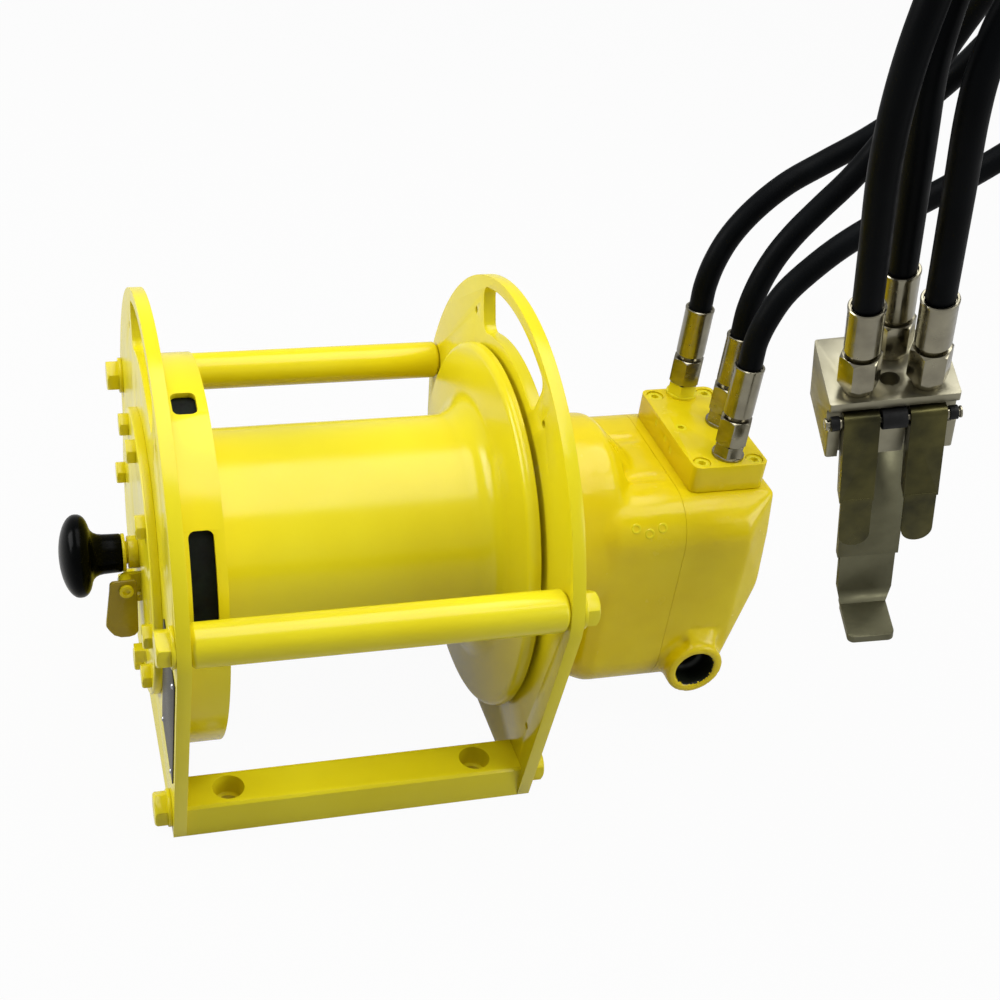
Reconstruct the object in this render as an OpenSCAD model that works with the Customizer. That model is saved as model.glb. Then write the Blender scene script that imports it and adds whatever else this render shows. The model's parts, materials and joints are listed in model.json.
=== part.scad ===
/* [Side plates] */
// Distance between the inner faces of the two side plates
plate_gap = 270; // [260:1:290]
// Thickness of a side plate
plate_t = 10; // [8:1:12]
// Half width of a side plate at the bottom edge
plate_foot = 158; // [155:1:165]
// Half width of a side plate at the shoulder
plate_shoulder = 197.5; // [196:0.5:199]
// Height of the shoulder
shoulder_z = 200; // [190:1:210]
// Radius of the round top about the drum axis
plate_top_r = 204; // [203:0.5:206]
// Distance of the four flats from the drum axis
plate_flat_r = 200; // [199:0.5:202]
// Height of the drum axis above the mounting plane
axis_z = 160; // [158:1:165]
// Band left between the handle slot and the round top
slot_band = 9; // [8:0.5:12]
// Radial width of the handle slot
slot_depth = 36.5; // [33:0.5:37]
// Half angle of the handle slot
slot_half_angle = 23.5; // [20:0.5:26]
// Corner radius of the handle slot
slot_corner_r = 9; // [6:1:12]
// Diameter of the small lacing holes
lace_d = 6; // [5:0.5:8]
// Radius on which the lacing holes lie
lace_pitch_r = 176; // [172:1:180]

/* [Bars and bolts] */
// Diameter of the tie bars
tie_d = 32; // [28:1:36]
// Distance of the tie bars from the drum axis, sideways
tie_y = 181.5; // [180:0.5:184]
// Height of the tie bars
tie_z = 213.5; // [210:0.5:216]
// End chamfer of the tie bars
tie_chamfer = 3; // [2:0.5:4]
// Width of the base bars
base_w = 36; // [34:1:40]
// Height of the base bars
base_h = 30; // [28:1:34]
// Distance between the mounting hole rows, across the drum
mount_pitch_y = 280; // [276:1:284]
// Distance between the mounting holes, along the drum
mount_pitch_x = 200; // [180:5:220]
// Diameter of the mounting holes
mount_hole_d = 17.5; // [17:0.1:18]
// Diameter of the mounting hole counterbore
mount_cbore_d = 25; // [24:0.5:28]
// Depth of the mounting hole counterbore
mount_cbore_t = 18; // [14:1:20]
// Thread diameter of the frame bolts
bolt_d = 16; // [14:1:18]
// Width across flats of the frame bolt heads
bolt_af = 24; // [22:1:26]
// Height of the frame bolt heads
bolt_head_t = 10; // [8:1:11]
// Length of a frame bolt in its bar
bolt_grip = 20; // [18:1:20]
// Outer diameter of the frame washers
washer_d = 30; // [28:1:32]
// Thickness of the frame washers
washer_t = 3; // [2:0.5:4]

/* [Drum] */
// Radius of the rope barrel
barrel_r = 93; // [90:1:95]
// Radius of the right-hand flange
flange_r = 150.5; // [149:0.5:151]
// Distance of the flange from the motor-side plate
flange_gap = 4; // [4:0.5:6]
// Thickness of the flange rim
flange_rim_t = 6; // [5:0.5:8]
// Inner radius of the drum
drum_bore_r = 80; // [79:0.5:81]
// Radius of the brake rim at the left end
brake_rim_r = 140; // [138:0.5:141]

/* [Brake] */
// Wall thickness of the guard ring
guard_t = 4.5; // [4:0.5:6]
// Length of the guard ring along the axis
guard_len = 33.5; // [32:0.5:36]
// Thickness of the brake lining
lining_t = 5; // [4:0.5:5.5]
// Thickness of the brake strap
strap_t = 3; // [2:0.5:3.5]
// Outer radius of the round brake cover
cover_r = 113; // [110:1:116]
// Thickness of the round brake cover
cover_t = 7; // [6:0.5:9]
// Radius of the cover bolt circle
cover_bolt_r = 100; // [98:0.5:102]

/* [Clutch knob] */
// Largest radius of the knob
knob_r = 32.7; // [30:0.1:35]
// Radius of the knob neck
knob_neck_r = 15.3; // [14:0.1:17]
// Radius of the clutch stem
stem_r = 9; // [8:0.5:10]
// Radius of the collar round the stem
collar_r = 13; // [12:0.5:15]

/* [Motor] */
// Half width of the motor body
body_half_y = 88; // [86:0.5:89]
// Height of the underside of the motor body
body_low_z = 28; // [24:1:32]
// Height of the deck on top of the motor body
deck_z = 220; // [218:1:222]
// Distance from the frame centre to the motor cover joint
split_x = 274; // [270:1:278]
// Distance from the frame centre to the end face of the motor
end_x = 355; // [350:1:360]
// Radius of the air port boss
port_boss_r = 25; // [24:0.5:27]
// Radius of the air port thread
port_r = 16.6; // [16:0.1:17]
// Depth of the air port thread
port_len = 22; // [18:1:26]

/* [Hoses] */
// Outer diameter of the hoses
hose_d = 19; // [17:0.5:20]
// Width across flats of the hose nuts
nut_af = 24; // [22:1:26]
// Width across flats of the hose adaptors
adaptor_af = 22; // [20:1:24]
// Diameter of the hose ferrules
ferrule_d = 24; // [23:0.5:25]

/* [Pendant] */
// Length of the pendant valve block
pendant_w = 83.4; // [80:0.2:86]
// Depth of the pendant valve block
pendant_d = 63.3; // [60:0.3:66]
// Height of the pendant valve block
pendant_h = 49.3; // [47:0.1:51]
// Width of a pendant lever
lever_w = 23; // [20:1:24]
// Thickness of the lever sheet
lever_t = 2.5; // [2:0.25:3]
// Thickness of the grip bar
grip_t = 6; // [5:0.5:7]

/* [Hidden] */
round_fn = 96;
fine_fn = 48;
edge_fn = 32;
eps = 0.5;
fit = 0.05;
seat = 0.3;
free = 0.5;

paint = [0.9, 0.85, 0.15];
black = [0.08, 0.08, 0.09];
steel = [0.72, 0.72, 0.74];
nickel = [0.8, 0.79, 0.74];
olive = [0.6, 0.56, 0.38];

in_x = plate_gap / 2;
out_x = in_x + plate_t;

slot_out_r = plate_top_r - slot_band;
slot_in_r = slot_out_r - slot_depth;
slot_fill_r = (slot_in_r + slot_out_r) / 2;
slot_corner_in = slot_in_r + slot_corner_r;
slot_corner_out = slot_out_r - slot_corner_r;
slot_trim_in = asin(slot_corner_r / slot_corner_in);
slot_trim_out = asin(slot_corner_r / slot_corner_out);
lace_angles = [60, 120, -30, 210];
flat_angles = [45, 135];
wedge_r = plate_top_r * 2;

tie_tap_r = bolt_d / 2;
base_bolt_z = base_h / 2;
head_seat = out_x + washer_t;
bolt_in = in_x - bolt_grip;
bolt_pilot = 1.5;
frame_points = [[tie_y, tie_z], [-tie_y, tie_z]];
foot_points = [[mount_pitch_y / 2, base_bolt_z], [-mount_pitch_y / 2, base_bolt_z]];
frame_hole_r = bolt_d / 2 + free;
base_chamfer = 2;

brake_bore_r = 60;

flange_out = in_x - flange_gap;
flange_in = flange_out - flange_rim_t;
brake_rim_gap = 5;
brake_rim_len = 24;
brake_rim_x0 = -in_x + brake_rim_gap;
brake_rim_x1 = brake_rim_x0 + brake_rim_len;
brake_wall_t = 7;
fillet_x = 96;
fillet_r = 22;
face_lean = 5.6;
lip_r = 6;
arc_steps = 8;
face_in_r = barrel_r + fillet_r * (1 - sin(face_lean));
face_out_r = flange_r - lip_r * (1 - sin(face_lean));
lip_x = fillet_x + (fillet_r + lip_r) * cos(face_lean) + tan(face_lean) * (face_out_r - face_in_r);
drum_profile = concat(
    [for (i = [0:arc_steps])
        let(a = -90 + i * (90 - face_lean) / arc_steps)
            [fillet_x + fillet_r * cos(a), barrel_r + fillet_r * (1 + sin(a))]],
    [for (i = [0:arc_steps])
        let(a = 180 - face_lean - i * (90 - face_lean) / arc_steps)
            [lip_x + lip_r * cos(a), flange_r - lip_r * (1 - sin(a))]]);
drum_end_t = 12;
journal_r = 22;
journal_bore_r = 12;
journal_inset = 2;
journal_x = -out_x + journal_inset;
web_inset = 14;
web_x0 = brake_rim_x0 + web_inset;

brake_gap = 0.4;
lining_in_r = brake_rim_r + brake_gap;
lining_out_r = lining_in_r + lining_t;
strap_out_r = lining_out_r + strap_t;
lining_inset = 1;
lining_x0 = brake_rim_x0 + lining_inset;
lining_x1 = brake_rim_x1 - 2 * lining_inset;
brake_open_angle = 12;
guard_gap = 0.6;
guard_in_r = strap_out_r + guard_gap;
guard_r = guard_in_r + guard_t;
guard_x1 = -in_x + guard_len;
window_inset = 8;
window_len = 18;
window_x0 = -in_x + window_inset;
window_x1 = window_x0 + window_len;
window_corner = 5;
front_window = [2.5, 41];
upper_window = [75, 83.5];
rear_window = [140, 162];

cover_x = -out_x - cover_t;
cover_bolt_angles = [120, 85, 47, -2, -37, -82, -130, 175];
cover_bolt_af = 17;
cover_bolt_head_t = 7;
cover_bolt_thread_r = 5;
bearing_out_r = 36;
bearing_reach = 9;
bearing_in_x = -in_x + bearing_reach;
cover_spigot_x = bearing_in_x;
stop_boss_len = 9;
boss_x0 = cover_x - stop_boss_len;
cover_edge = 1;
bearing_step = 1;
stop_boss_y = [-50, -40];
stop_boss_z = [88, 100];
grease_y = -14;
grease_z = 128;
grease_af = 10;
grease_len = 8;

knob_x0 = -211.6;
knob_x1 = -190;
knob_neck_x = -164.4;
rim_x = -161.7;
knob_edge = 5;
stem_x0 = -202;
rod_r = 6;
rod_x1 = 20;
stem_reach = 12;
stem_x1 = -in_x + stem_reach;
stem_sink = 2;
stem_split_x = cover_x + stem_sink;
dog_af = 16;
dog_len = 18;
dog_wall = 1.5;
collar_len = 8;

latch_t = 3;
latch_x0 = -177.5;
latch_x1 = -155.5;
latch_y0 = -30;
latch_low_z = 98;
latch_top_z = 155;
latch_depth = 13;
latch_corner = 4;
latch_pivot_x = -164;
latch_pivot_z = 146;
latch_pin_r = 3;
latch_head_r = 5.5;
latch_head_t = 3;
latch_post_r = 5.5;
latch_post_y = -26.7;
latch_boss_x = [-163.5, -152];
latch_boss_y = [-16.5, -9];
latch_boss_z = [134, 151];
latch_clear_r = 16;
latch_key_af = 5;
latch_screw_in = 11;
latch_screw_out = 30.3;

tag_lean = 11.2;
tag_t = 1;
tag_w = 62;
tag_len = 119;
tag_mid = [-144, 128.3];
tag_inset = 7;
rivet_r = 2.5;
rivet_t = 1.2;
rivet_top_share = 0.6;

neck_x1 = 222;
cone_x1 = 250;
cone_r = 60.5;
body_x0 = 198;
body_top_r = 38;
body_bottom_r = 45;
body_round = 18;
round_share = 0.29;
shoulder_in = body_round * round_share;
neck_r = body_half_y;
body_bottom_y = body_half_y - body_bottom_r;
body_top_y = body_half_y - body_top_r;
body_mid_z = (body_low_z + deck_z) / 2;
cover_flat_x = 331;
end_front = [[-65, 219], [-72, 184], [-77, 137], [-65, 95], [-35, 40]];
end_slab_t = 1;
chamber_x = 158;
liner_r = 58;
liner_x0 = 160;
liner_x1 = 262;
liner_bore_r = 50;
liner_ecc = 3;
motor_bearing_r = 30;
motor_bearing_t = 11;
shaft_r = 15;
shaft_x0 = 28;
sun_seat_r = 10;
sun_step_x = 60;
shaft_x1 = 285;
rotor_r = 46.6;
rotor_x0 = 161;
rotor_x1 = 261;
vane_t = 4;
vane_depth = 18;
vane_out_r = 46.9;
vane_count = 6;
motor_screw_r = 70;
motor_screw_d = 8;
motor_screw_x1 = 172;
motor_screw_angles = [30, 90, 150, 210, 270, 330];
screw_head_r = 6.5;
screw_head_t = 7.5;
dent_x = [235, 268];
dent_y = [25, -33];
dent_r = 9;
dent_z = 226;
end_screw_r = 4;
end_screw_spots = [[-58, 192], [58, 192], [-58, 105], [58, 105]];
end_screw_head_r = 6.5;
end_screw_head_t = 5;
end_screw_sink = 9;
end_screw_tip = 245;

port_x = 304.5;
port_z = 62.4;
port_y = -100;
port_mouth_r = port_r + 1.2;
port_mouth_t = 1.5;
port_way_r = 12;
port_web_x = [295, 322];
port_web_y0 = -96;
port_web_z1 = 101;

block_x = [282, 347];
block_y = [-60, 62];
block_top_z = 243;
block_corner_r = 7;
m8_x = [291.7, 337.3];
m8_y = [-51, 52];
m8_cbore_r = 7.2;
m8_head_r = 6.5;
m8_r = 4;
m8_cbore_t = 9;
m8_head_gap = 1;
m8_tip_z = 204;
m8_socket_af = 6;
m8_socket_t = 4;
top_plug = [294.7, 1.3];
top_plug_r = 5;
plug_len = 10;
side_plug_len = 6;
plug_key_t = 3;
side_plugs = [[21.6, 236.5], [0.4, 233.7], [-12.4, 230.2]];
side_plug_r = 3;

hose_ports = [[316, 53], [332, 5], [317, -43]];
adaptor_z1 = 255.7;
nut_z0 = 256;
nut_z1 = 279;
ferrule_z1 = 325;
hose_r = hose_d / 2;
thread_r = 8;
thread_len = 12;
nose_r = 7.9;
nose_len = 12;
nut_pad_r = 12;
ferrule_lip_t = 4;
ferrule_bead_t = 0.8;
port_washer_r = 13;
port_washer_t = 2.5;
gas_bore_r = 5;

pendant_at = [332.6, -190.5, 387.8];
pendant_turn = [14, -12.8, -16.3];
pendant_ports = [[-22, -17.5], [5, 13], [22, -17.5]];
p_top = pendant_h / 2;
p_front = -pendant_d / 2;
p_ring_r = 9.8;
p_ring_z1 = 30.7;
p_nut_z0 = 31;
p_nut_z1 = 56;
p_ferrule_z1 = 96;
p_hole = [-0.4, -12.1];
p_hole_r = 6.5;
p_hole_t = 12;
p_shank = 9;
block_edge = 2;
pivot_y = -33;
pivot_z = 9;
pivot_r = 2.5;
groove_r = 9.2;
mid_bush_x = 8;
mid_bush_r = 7;
side_bush_r = 4.8;
side_bush_x = [35, 40.5];
pin_x = 43;
pin_head_r = 4;
pin_head_t = 1.5;
lever_x = 21.3;
lever_top = [-38, 16];
lever_foot = [-49, -54];
tongue_end = [-54, -94];
flange_depth = 10.5;
lever_ear_r = 6;
ear_share = 0.98;
flange_round = 3;
top_fold = 8;
tongue_half = 10.5;
pocket_y = -26.5;
pocket_side = 1;
plunger_r = 4;
plunger_z = -12;
plunger_y0 = -39.4;
plunger_tip_t = 4;
plunger_y1 = 6;
plunger_bore_y = 12;
plunger_tip_r = 3;
grip_front = [[-8, -24.8], [-26, -200]];
grip_foot = 35;
grip_half = [22, 20, 17];
grip_step_z = [-149, -200];
grip_corner = 5;
grip_flange_y = 22;

tooth_module = 2.4;
sun_teeth = 12;
planet_teeth = 24;
ring_teeth = 60;
pressure_angle = 25;
tip_share = 0.9;
root_share = 1.15;
backlash = 0.22;
gear_x0 = 30;
gear_x1 = 52;
ring_x0 = 28;
ring_x1 = 54;
planet_orbit_r = tooth_module * (sun_teeth + planet_teeth) / 2;
planet_angles = [90, 330, 210];
planet_pin_r = 9;
planet_bore_r = planet_pin_r + fit;
planet_step_r = 13;
carrier_x0 = 8;
carrier_x1 = 22;
pin_seat = 1;
carrier_r = 58;
cheek_x0 = 55;
cheek_x1 = 61;
hub_nose_x = 55;
hub_nose_r = 24;
hub_nose_bore_r = 18;
hub_x0 = 61;
hub_neck_r = 38;
hub_flange_x = 121;
hub_flange_r = 78;
hub_sleeve_r = 62;
hub_bore_r = 32;
drum_bearing_x0 = 90;
drum_bearing_x1 = 112;
hub_bearing_x = [66, 80];
groove_t = 1;
shield_half = 3;

hose_route_a = [
    [316, 53, 325], [316, 53, 345], [320, 53, 367], [329, 53, 389], [345, 53, 411], [367, 53, 431],
    [394, 52, 448], [424, 46, 470], [450, 34, 500], [468, 16, 538], [476, -8, 582], [472, -38, 628],
    [457, -74, 673], [431, -112, 712], [396, -150, 742], [354, -184, 757], [313, -211, 753],
    [277, -232, 731], [253, -244, 696], [244, -247, 652], [246, -242, 608]];
hose_route_b = [
    [332, 5, 325], [332, 5, 347], [336, 5, 370], [344, 5, 392], [356, 5, 412], [372, 5, 432],
    [391, 4, 456], [408, 2, 486], [420, -3, 522], [427, -14, 564], [429, -34, 604], [424, -62, 641],
    [412, -92, 672], [395, -122, 696], [374, -149, 713], [350, -172, 722], [327, -188, 721],
    [306, -201, 712], [288, -212, 694], [277, -219, 669], [273, -222, 642]];
hose_route_c = [
    [317, -43, 325], [317, -43, 346], [321, -44, 366], [330, -44, 386], [345, -45, 405],
    [366, -45, 424], [393, -45, 442], [428, -45, 461], [465, -46, 484], [497, -50, 510],
    [521, -62, 542], [533, -84, 578], [531, -112, 617], [516, -142, 651], [490, -170, 677],
    [457, -192, 695], [420, -208, 706], [384, -220, 710], [350, -230, 707], [322, -239, 697],
    [301, -247, 680], [288, -252, 656], [284, -254, 629]];
hose_lead_a = [195, 145, p_ferrule_z1];
hose_lead_b = [235, 190, 140, p_ferrule_z1];
hose_lead_c = [225, 185, 140, p_ferrule_z1];
hose_sides = 12;

// Cylinder along X between two positions, centred on X = 0 of the other two axes
module x_rod(x0, x1, r, fn = round_fn) {
    translate([x0, 0, 0])
        rotate([0, 90, 0])
            cylinder(h = x1 - x0, r = r, $fn = fn);
}

// Tube along X
module x_tube(x0, x1, r_out, r_in, fn = round_fn) {
    difference() {
        x_rod(x0, x1, r_out, fn);
        x_rod(x0 - eps, x1 + eps, r_in, fn);
    }
}

// Truncated cone along X
module x_cone(x0, x1, r0, r1, fn = round_fn) {
    translate([x0, 0, 0])
        rotate([0, 90, 0])
            cylinder(h = x1 - x0, r1 = r0, r2 = r1, $fn = fn);
}

// Hexagonal prism along X
module x_hex(x0, x1, af) {
    x_rod(x0, x1, af / 2 / cos(30), 6);
}

// Round bar along Z
module z_rod(z0, z1, r, fn = fine_fn) {
    translate([0, 0, z0])
        cylinder(h = z1 - z0, r = r, $fn = fn);
}

// Hexagonal prism along Z
module z_hex(z0, z1, af) {
    z_rod(z0, z1, af / 2 / cos(30), 6);
}

// Extrudes a drawing in the Y-Z plane along X
module along_x(x0, x1) {
    translate([x0, 0, 0])
        rotate([90, 0, 90])
            linear_extrude(height = x1 - x0)
                children();
}

// Places children on the drum axis
module on_axis() {
    translate([0, 0, axis_z])
        children();
}

// Places children on the drum axis, turned so that +Z points at an angle measured from the front
module at_angle(a) {
    on_axis()
        rotate([90 - a, 0, 0])
            children();
}

// Places children at a radius and an angle measured from the front, without turning them
module at_polar(r, a) {
    translate([0, -r * cos(a), axis_z + r * sin(a)])
        children();
}

// Wedge between two angles measured from the front, about the drum axis
module wedge(x0, x1, a0, a1) {
    am = (a0 + a1) / 2;
    along_x(x0, x1)
        polygon([
            [0, axis_z],
            [-wedge_r * cos(a0), axis_z + wedge_r * sin(a0)],
            [-wedge_r * cos(am), axis_z + wedge_r * sin(am)],
            [-wedge_r * cos(a1), axis_z + wedge_r * sin(a1)]]);
}

// Part of a tube about the drum axis between two angles
module arc_tube(x0, x1, r_out, r_in, a0, a1) {
    intersection() {
        on_axis()
            x_tube(x0, x1, r_out, r_in);
        wedge(x0 - eps, x1 + eps, a0, a1);
    }
}

module plate_blank(x0) {
    intersection() {
        union() {
            on_axis()
                x_rod(x0, x0 + plate_t, plate_top_r, round_fn * 2);
            along_x(x0, x0 + plate_t)
                polygon([
                    [-plate_foot, 0], [plate_foot, 0],
                    [plate_shoulder, shoulder_z], [-plate_shoulder, shoulder_z]]);
        }
        along_x(x0 - eps, x0 + plate_t + eps)
            polygon([
                [-plate_foot, 0], [plate_foot, 0], [plate_shoulder, shoulder_z],
                [plate_shoulder, axis_z + plate_top_r],
                [-plate_shoulder, axis_z + plate_top_r], [-plate_shoulder, shoulder_z]]);
        for (a = flat_angles)
            at_angle(a)
                translate([x0 - eps, -wedge_r, -wedge_r])
                    cube([plate_t + 2 * eps, 2 * wedge_r, wedge_r + plate_flat_r]);
    }
}

// Handle slot with rounded corners
module handle_slot(x0) {
    a0 = 90 - slot_half_angle;
    a1 = 90 + slot_half_angle;
    arc_tube(x0 - eps, x0 + plate_t + eps, slot_corner_out, slot_corner_in, a0, a1);
    arc_tube(x0 - eps, x0 + plate_t + eps, slot_fill_r, slot_in_r, a0 + slot_trim_in, a1 - slot_trim_in);
    arc_tube(x0 - eps, x0 + plate_t + eps, slot_out_r, slot_fill_r, a0 + slot_trim_out, a1 - slot_trim_out);
    for (c = [[slot_corner_in, slot_trim_in], [slot_corner_out, slot_trim_out]]) {
        at_polar(c[0], a0 + c[1])
            x_rod(x0 - eps, x0 + plate_t + eps, slot_corner_r, edge_fn);
        at_polar(c[0], a1 - c[1])
            x_rod(x0 - eps, x0 + plate_t + eps, slot_corner_r, edge_fn);
    }
}

// Through holes for the bolts that hold the bars
module frame_holes(x0) {
    for (p = concat(frame_points, foot_points))
        translate([0, p[0], p[1]])
            x_rod(x0 - eps, x0 + plate_t + eps, frame_hole_r, fine_fn);
    for (a = lace_angles)
        at_polar(lace_pitch_r, a)
            x_rod(x0 - eps, x0 + plate_t + eps, lace_d / 2, fine_fn);
}

module brake_side_plate() {
    color(paint)
        difference() {
            plate_blank(-out_x);
            handle_slot(-out_x);
            frame_holes(-out_x);
            on_axis()
                x_rod(-out_x - eps, -in_x + eps, brake_bore_r);
            for (a = cover_bolt_angles)
                at_polar(cover_bolt_r, a)
                    x_rod(-out_x - eps, -in_x + eps, cover_bolt_thread_r, fine_fn);
        }
}

module motor_side_plate() {
    color(paint)
        difference() {
            plate_blank(in_x);
            handle_slot(in_x);
            frame_holes(in_x);
            on_axis()
                x_rod(in_x - eps, out_x + eps, hub_sleeve_r);
            for (a = motor_screw_angles)
                at_polar(motor_screw_r, a)
                    x_rod(in_x - eps, out_x + eps, motor_screw_d / 2 + free, fine_fn);
        }
}

module tie_bar(y) {
    color(paint)
        translate([0, y, tie_z])
            difference() {
                union() {
                    x_rod(-in_x + tie_chamfer, in_x - tie_chamfer, tie_d / 2);
                    x_cone(-in_x, -in_x + tie_chamfer, tie_d / 2 - tie_chamfer, tie_d / 2);
                    x_cone(in_x - tie_chamfer, in_x, tie_d / 2, tie_d / 2 - tie_chamfer);
                }
                x_rod(bolt_in - bolt_pilot, in_x + eps, tie_tap_r, fine_fn);
                x_rod(-in_x - eps, -bolt_in + bolt_pilot, tie_tap_r, fine_fn);
            }
}

module tie_bar_front() {
    tie_bar(-tie_y);
}

module tie_bar_rear() {
    tie_bar(tie_y);
}

module base_bar(y) {
    h = base_w / 2;
    c = base_chamfer;
    color(paint)
        difference() {
            translate([0, y, 0])
                along_x(-in_x, in_x)
                    polygon([
                        [-h, 0], [h, 0], [h, base_h - c], [h - c, base_h],
                        [c - h, base_h], [-h, base_h - c]]);
            for (s = [-1, 1]) {
                translate([s * mount_pitch_x / 2, y, 0]) {
                    z_rod(-eps, base_h + eps, mount_hole_d / 2);
                    z_rod(base_h - mount_cbore_t, base_h + eps, mount_cbore_d / 2);
                }
            }
            translate([0, y, base_bolt_z]) {
                x_rod(bolt_in - bolt_pilot, in_x + eps, tie_tap_r, fine_fn);
                x_rod(-in_x - eps, -bolt_in + bolt_pilot, tie_tap_r, fine_fn);
            }
        }
}

module base_bar_front() {
    base_bar(-mount_pitch_y / 2);
}

module base_bar_rear() {
    base_bar(mount_pitch_y / 2);
}

// Frame bolt with its head on the right-hand side
module frame_bolt() {
    x_rod(bolt_in, head_seat, bolt_d / 2, fine_fn);
    intersection() {
        x_hex(head_seat, head_seat + bolt_head_t, bolt_af);
        x_cone(head_seat - bolt_af, head_seat + bolt_head_t, bolt_af * 2, bolt_af / 2, fine_fn);
    }
}

module both_sides() {
    children();
    mirror([1, 0, 0])
        children();
}

module tie_bolts() {
    color(steel)
        for (p = frame_points)
            translate([0, p[0], p[1]])
                both_sides()
                    frame_bolt();
}

module base_bolts() {
    color(steel)
        for (p = foot_points)
            translate([0, p[0], p[1]])
                both_sides()
                    frame_bolt();
}

module frame_washers() {
    color(steel)
        for (p = concat(frame_points, foot_points))
            translate([0, p[0], p[1]])
                both_sides()
                    x_tube(out_x, head_seat, washer_d / 2, frame_hole_r, fine_fn);
}

// Guard window between two angles, with rounded corners
module guard_window(span) {
    half = (span[1] - span[0]) / 2;
    reach = guard_r * sin(half);
    at_angle((span[0] + span[1]) / 2)
        translate([0, 0, guard_in_r * cos(half) - guard_t])
            linear_extrude(height = guard_r)
                rounded_square(window_x0, window_x1, -reach, reach, window_corner);
}

module brake_guard() {
    color(paint)
        difference() {
            on_axis()
                x_tube(-in_x, guard_x1, guard_r, guard_in_r);
            guard_window(front_window);
            guard_window(upper_window);
            guard_window(rear_window);
        }
}

// Angles of the brake lining, open round the anchor at the bottom
brake_a0 = -90 + brake_open_angle;

module brake_sector(r_out, r_in) {
    difference() {
        on_axis()
            x_tube(lining_x0, lining_x1, r_out, r_in);
        wedge(lining_x0 - eps, lining_x1 + eps, -90 - brake_open_angle, brake_a0);
    }
}

module brake_strap() {
    color(steel)
        brake_sector(strap_out_r, lining_out_r);
}

module brake_lining() {
    color(black)
        brake_sector(lining_out_r, lining_in_r);
}

module brake_anchor() {
    color(steel)
        intersection() {
            arc_tube(-in_x, lining_x1, strap_out_r, lining_in_r, -90 - brake_open_angle, brake_a0);
            wedge(-in_x, lining_x1, -90 - brake_open_angle, brake_a0);
        }
}

module brake_cover() {
    color(paint)
        difference() {
            union() {
                on_axis() {
                    x_rod(cover_x + cover_edge, -out_x, cover_r, round_fn * 2);
                    x_cone(cover_x, cover_x + cover_edge, cover_r - cover_edge, cover_r, round_fn * 2);
                    x_rod(-out_x, cover_spigot_x, brake_bore_r - fit);
                }
                translate([boss_x0, stop_boss_y[0], stop_boss_z[0]])
                    cube([
                        cover_x - boss_x0 + eps,
                        stop_boss_y[1] - stop_boss_y[0],
                        stop_boss_z[1] - stop_boss_z[0]]);
                translate([cover_x - grease_len, grease_y, grease_z])
                    x_hex(0, grease_len + eps, grease_af);
            }
            on_axis() {
                x_rod(cover_x - eps, 0, stem_r + fit, fine_fn);
                x_rod(-out_x + bearing_step, 0, bearing_out_r);
            }
            for (a = cover_bolt_angles)
                at_polar(cover_bolt_r, a)
                    x_rod(cover_x - eps, -out_x + eps, cover_bolt_thread_r + free, fine_fn);
        }
}

module cover_bolts() {
    color(steel)
        for (a = cover_bolt_angles)
            at_polar(cover_bolt_r, a) {
                x_rod(cover_x, -in_x, cover_bolt_thread_r, fine_fn);
                intersection() {
                    x_hex(cover_x - cover_bolt_head_t, cover_x, cover_bolt_af);
                    x_cone(
                        cover_x - cover_bolt_head_t, cover_x + cover_bolt_af,
                        cover_bolt_af / 2, cover_bolt_af * 2, fine_fn);
                }
            }
}

module clutch_collar() {
    color(paint)
        on_axis()
            x_tube(cover_x - collar_len, cover_x, collar_r, stem_r + fit, fine_fn);
}

module latch_bracket() {
    color(paint)
        difference() {
            union() {
                box(
                    [latch_boss_x[0], latch_boss_y[0], latch_boss_z[0]],
                    [latch_boss_x[1], latch_boss_y[1], latch_boss_z[1]]);
                translate([latch_pivot_x, 0, latch_pivot_z])
                    rotate([90, 0, 0])
                        z_rod(-latch_boss_y[0] - eps, -latch_post_y, latch_post_r);
            }
            translate([latch_pivot_x, 0, latch_pivot_z])
                rotate([90, 0, 0])
                    z_rod(latch_screw_in, -latch_post_y + eps, latch_pin_r);
            on_axis()
                x_rod(knob_neck_x - collar_r, cover_x + eps, latch_clear_r, fine_fn);
        }
}

module latch_screw() {
    color(steel)
        translate([latch_pivot_x, 0, latch_pivot_z])
            rotate([90, 0, 0]) {
                z_rod(latch_screw_in, latch_screw_out, latch_pin_r);
                difference() {
                    z_rod(latch_screw_out, latch_screw_out + latch_head_t, latch_head_r);
                    z_hex(latch_screw_out + 1, latch_screw_out + latch_head_t + eps, latch_key_af);
                }
            }
}

module data_plate() {
    color(black)
        translate([-out_x - tag_t, tag_mid[0], tag_mid[1]])
            rotate([tag_lean, 0, 0])
                translate([0, -tag_w / 2, -tag_len / 2])
                    cube([tag_t, tag_w, tag_len]);
}

module data_plate_rivets() {
    color(steel)
        translate([-out_x - tag_t, tag_mid[0], tag_mid[1]])
            rotate([tag_lean, 0, 0])
                for (s = [-1, 1], t = [-1, 1])
                    translate([0, s * (tag_w / 2 - tag_inset), t * (tag_len / 2 - tag_inset)])
                        x_cone(-rivet_t, 0, rivet_r * rivet_top_share, rivet_r, fine_fn);
}

// Cross-section of the motor body in the Y-Z plane
module body_section(fn) {
    translate([-body_top_y, body_mid_z])
        square([2 * body_top_y, deck_z - body_mid_z]);
    translate([-body_bottom_y, body_low_z])
        square([2 * body_bottom_y, body_mid_z - body_low_z]);
    translate([-body_half_y, body_low_z + body_bottom_r])
        square([2 * body_half_y, deck_z - body_top_r - body_low_z - body_bottom_r]);
    for (s = [-1, 1]) {
        translate([s * body_top_y, deck_z - body_top_r])
            circle(r = body_top_r, $fn = fn);
        translate([s * body_bottom_y, body_low_z + body_bottom_r])
            circle(r = body_bottom_r, $fn = fn);
    }
}

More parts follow.
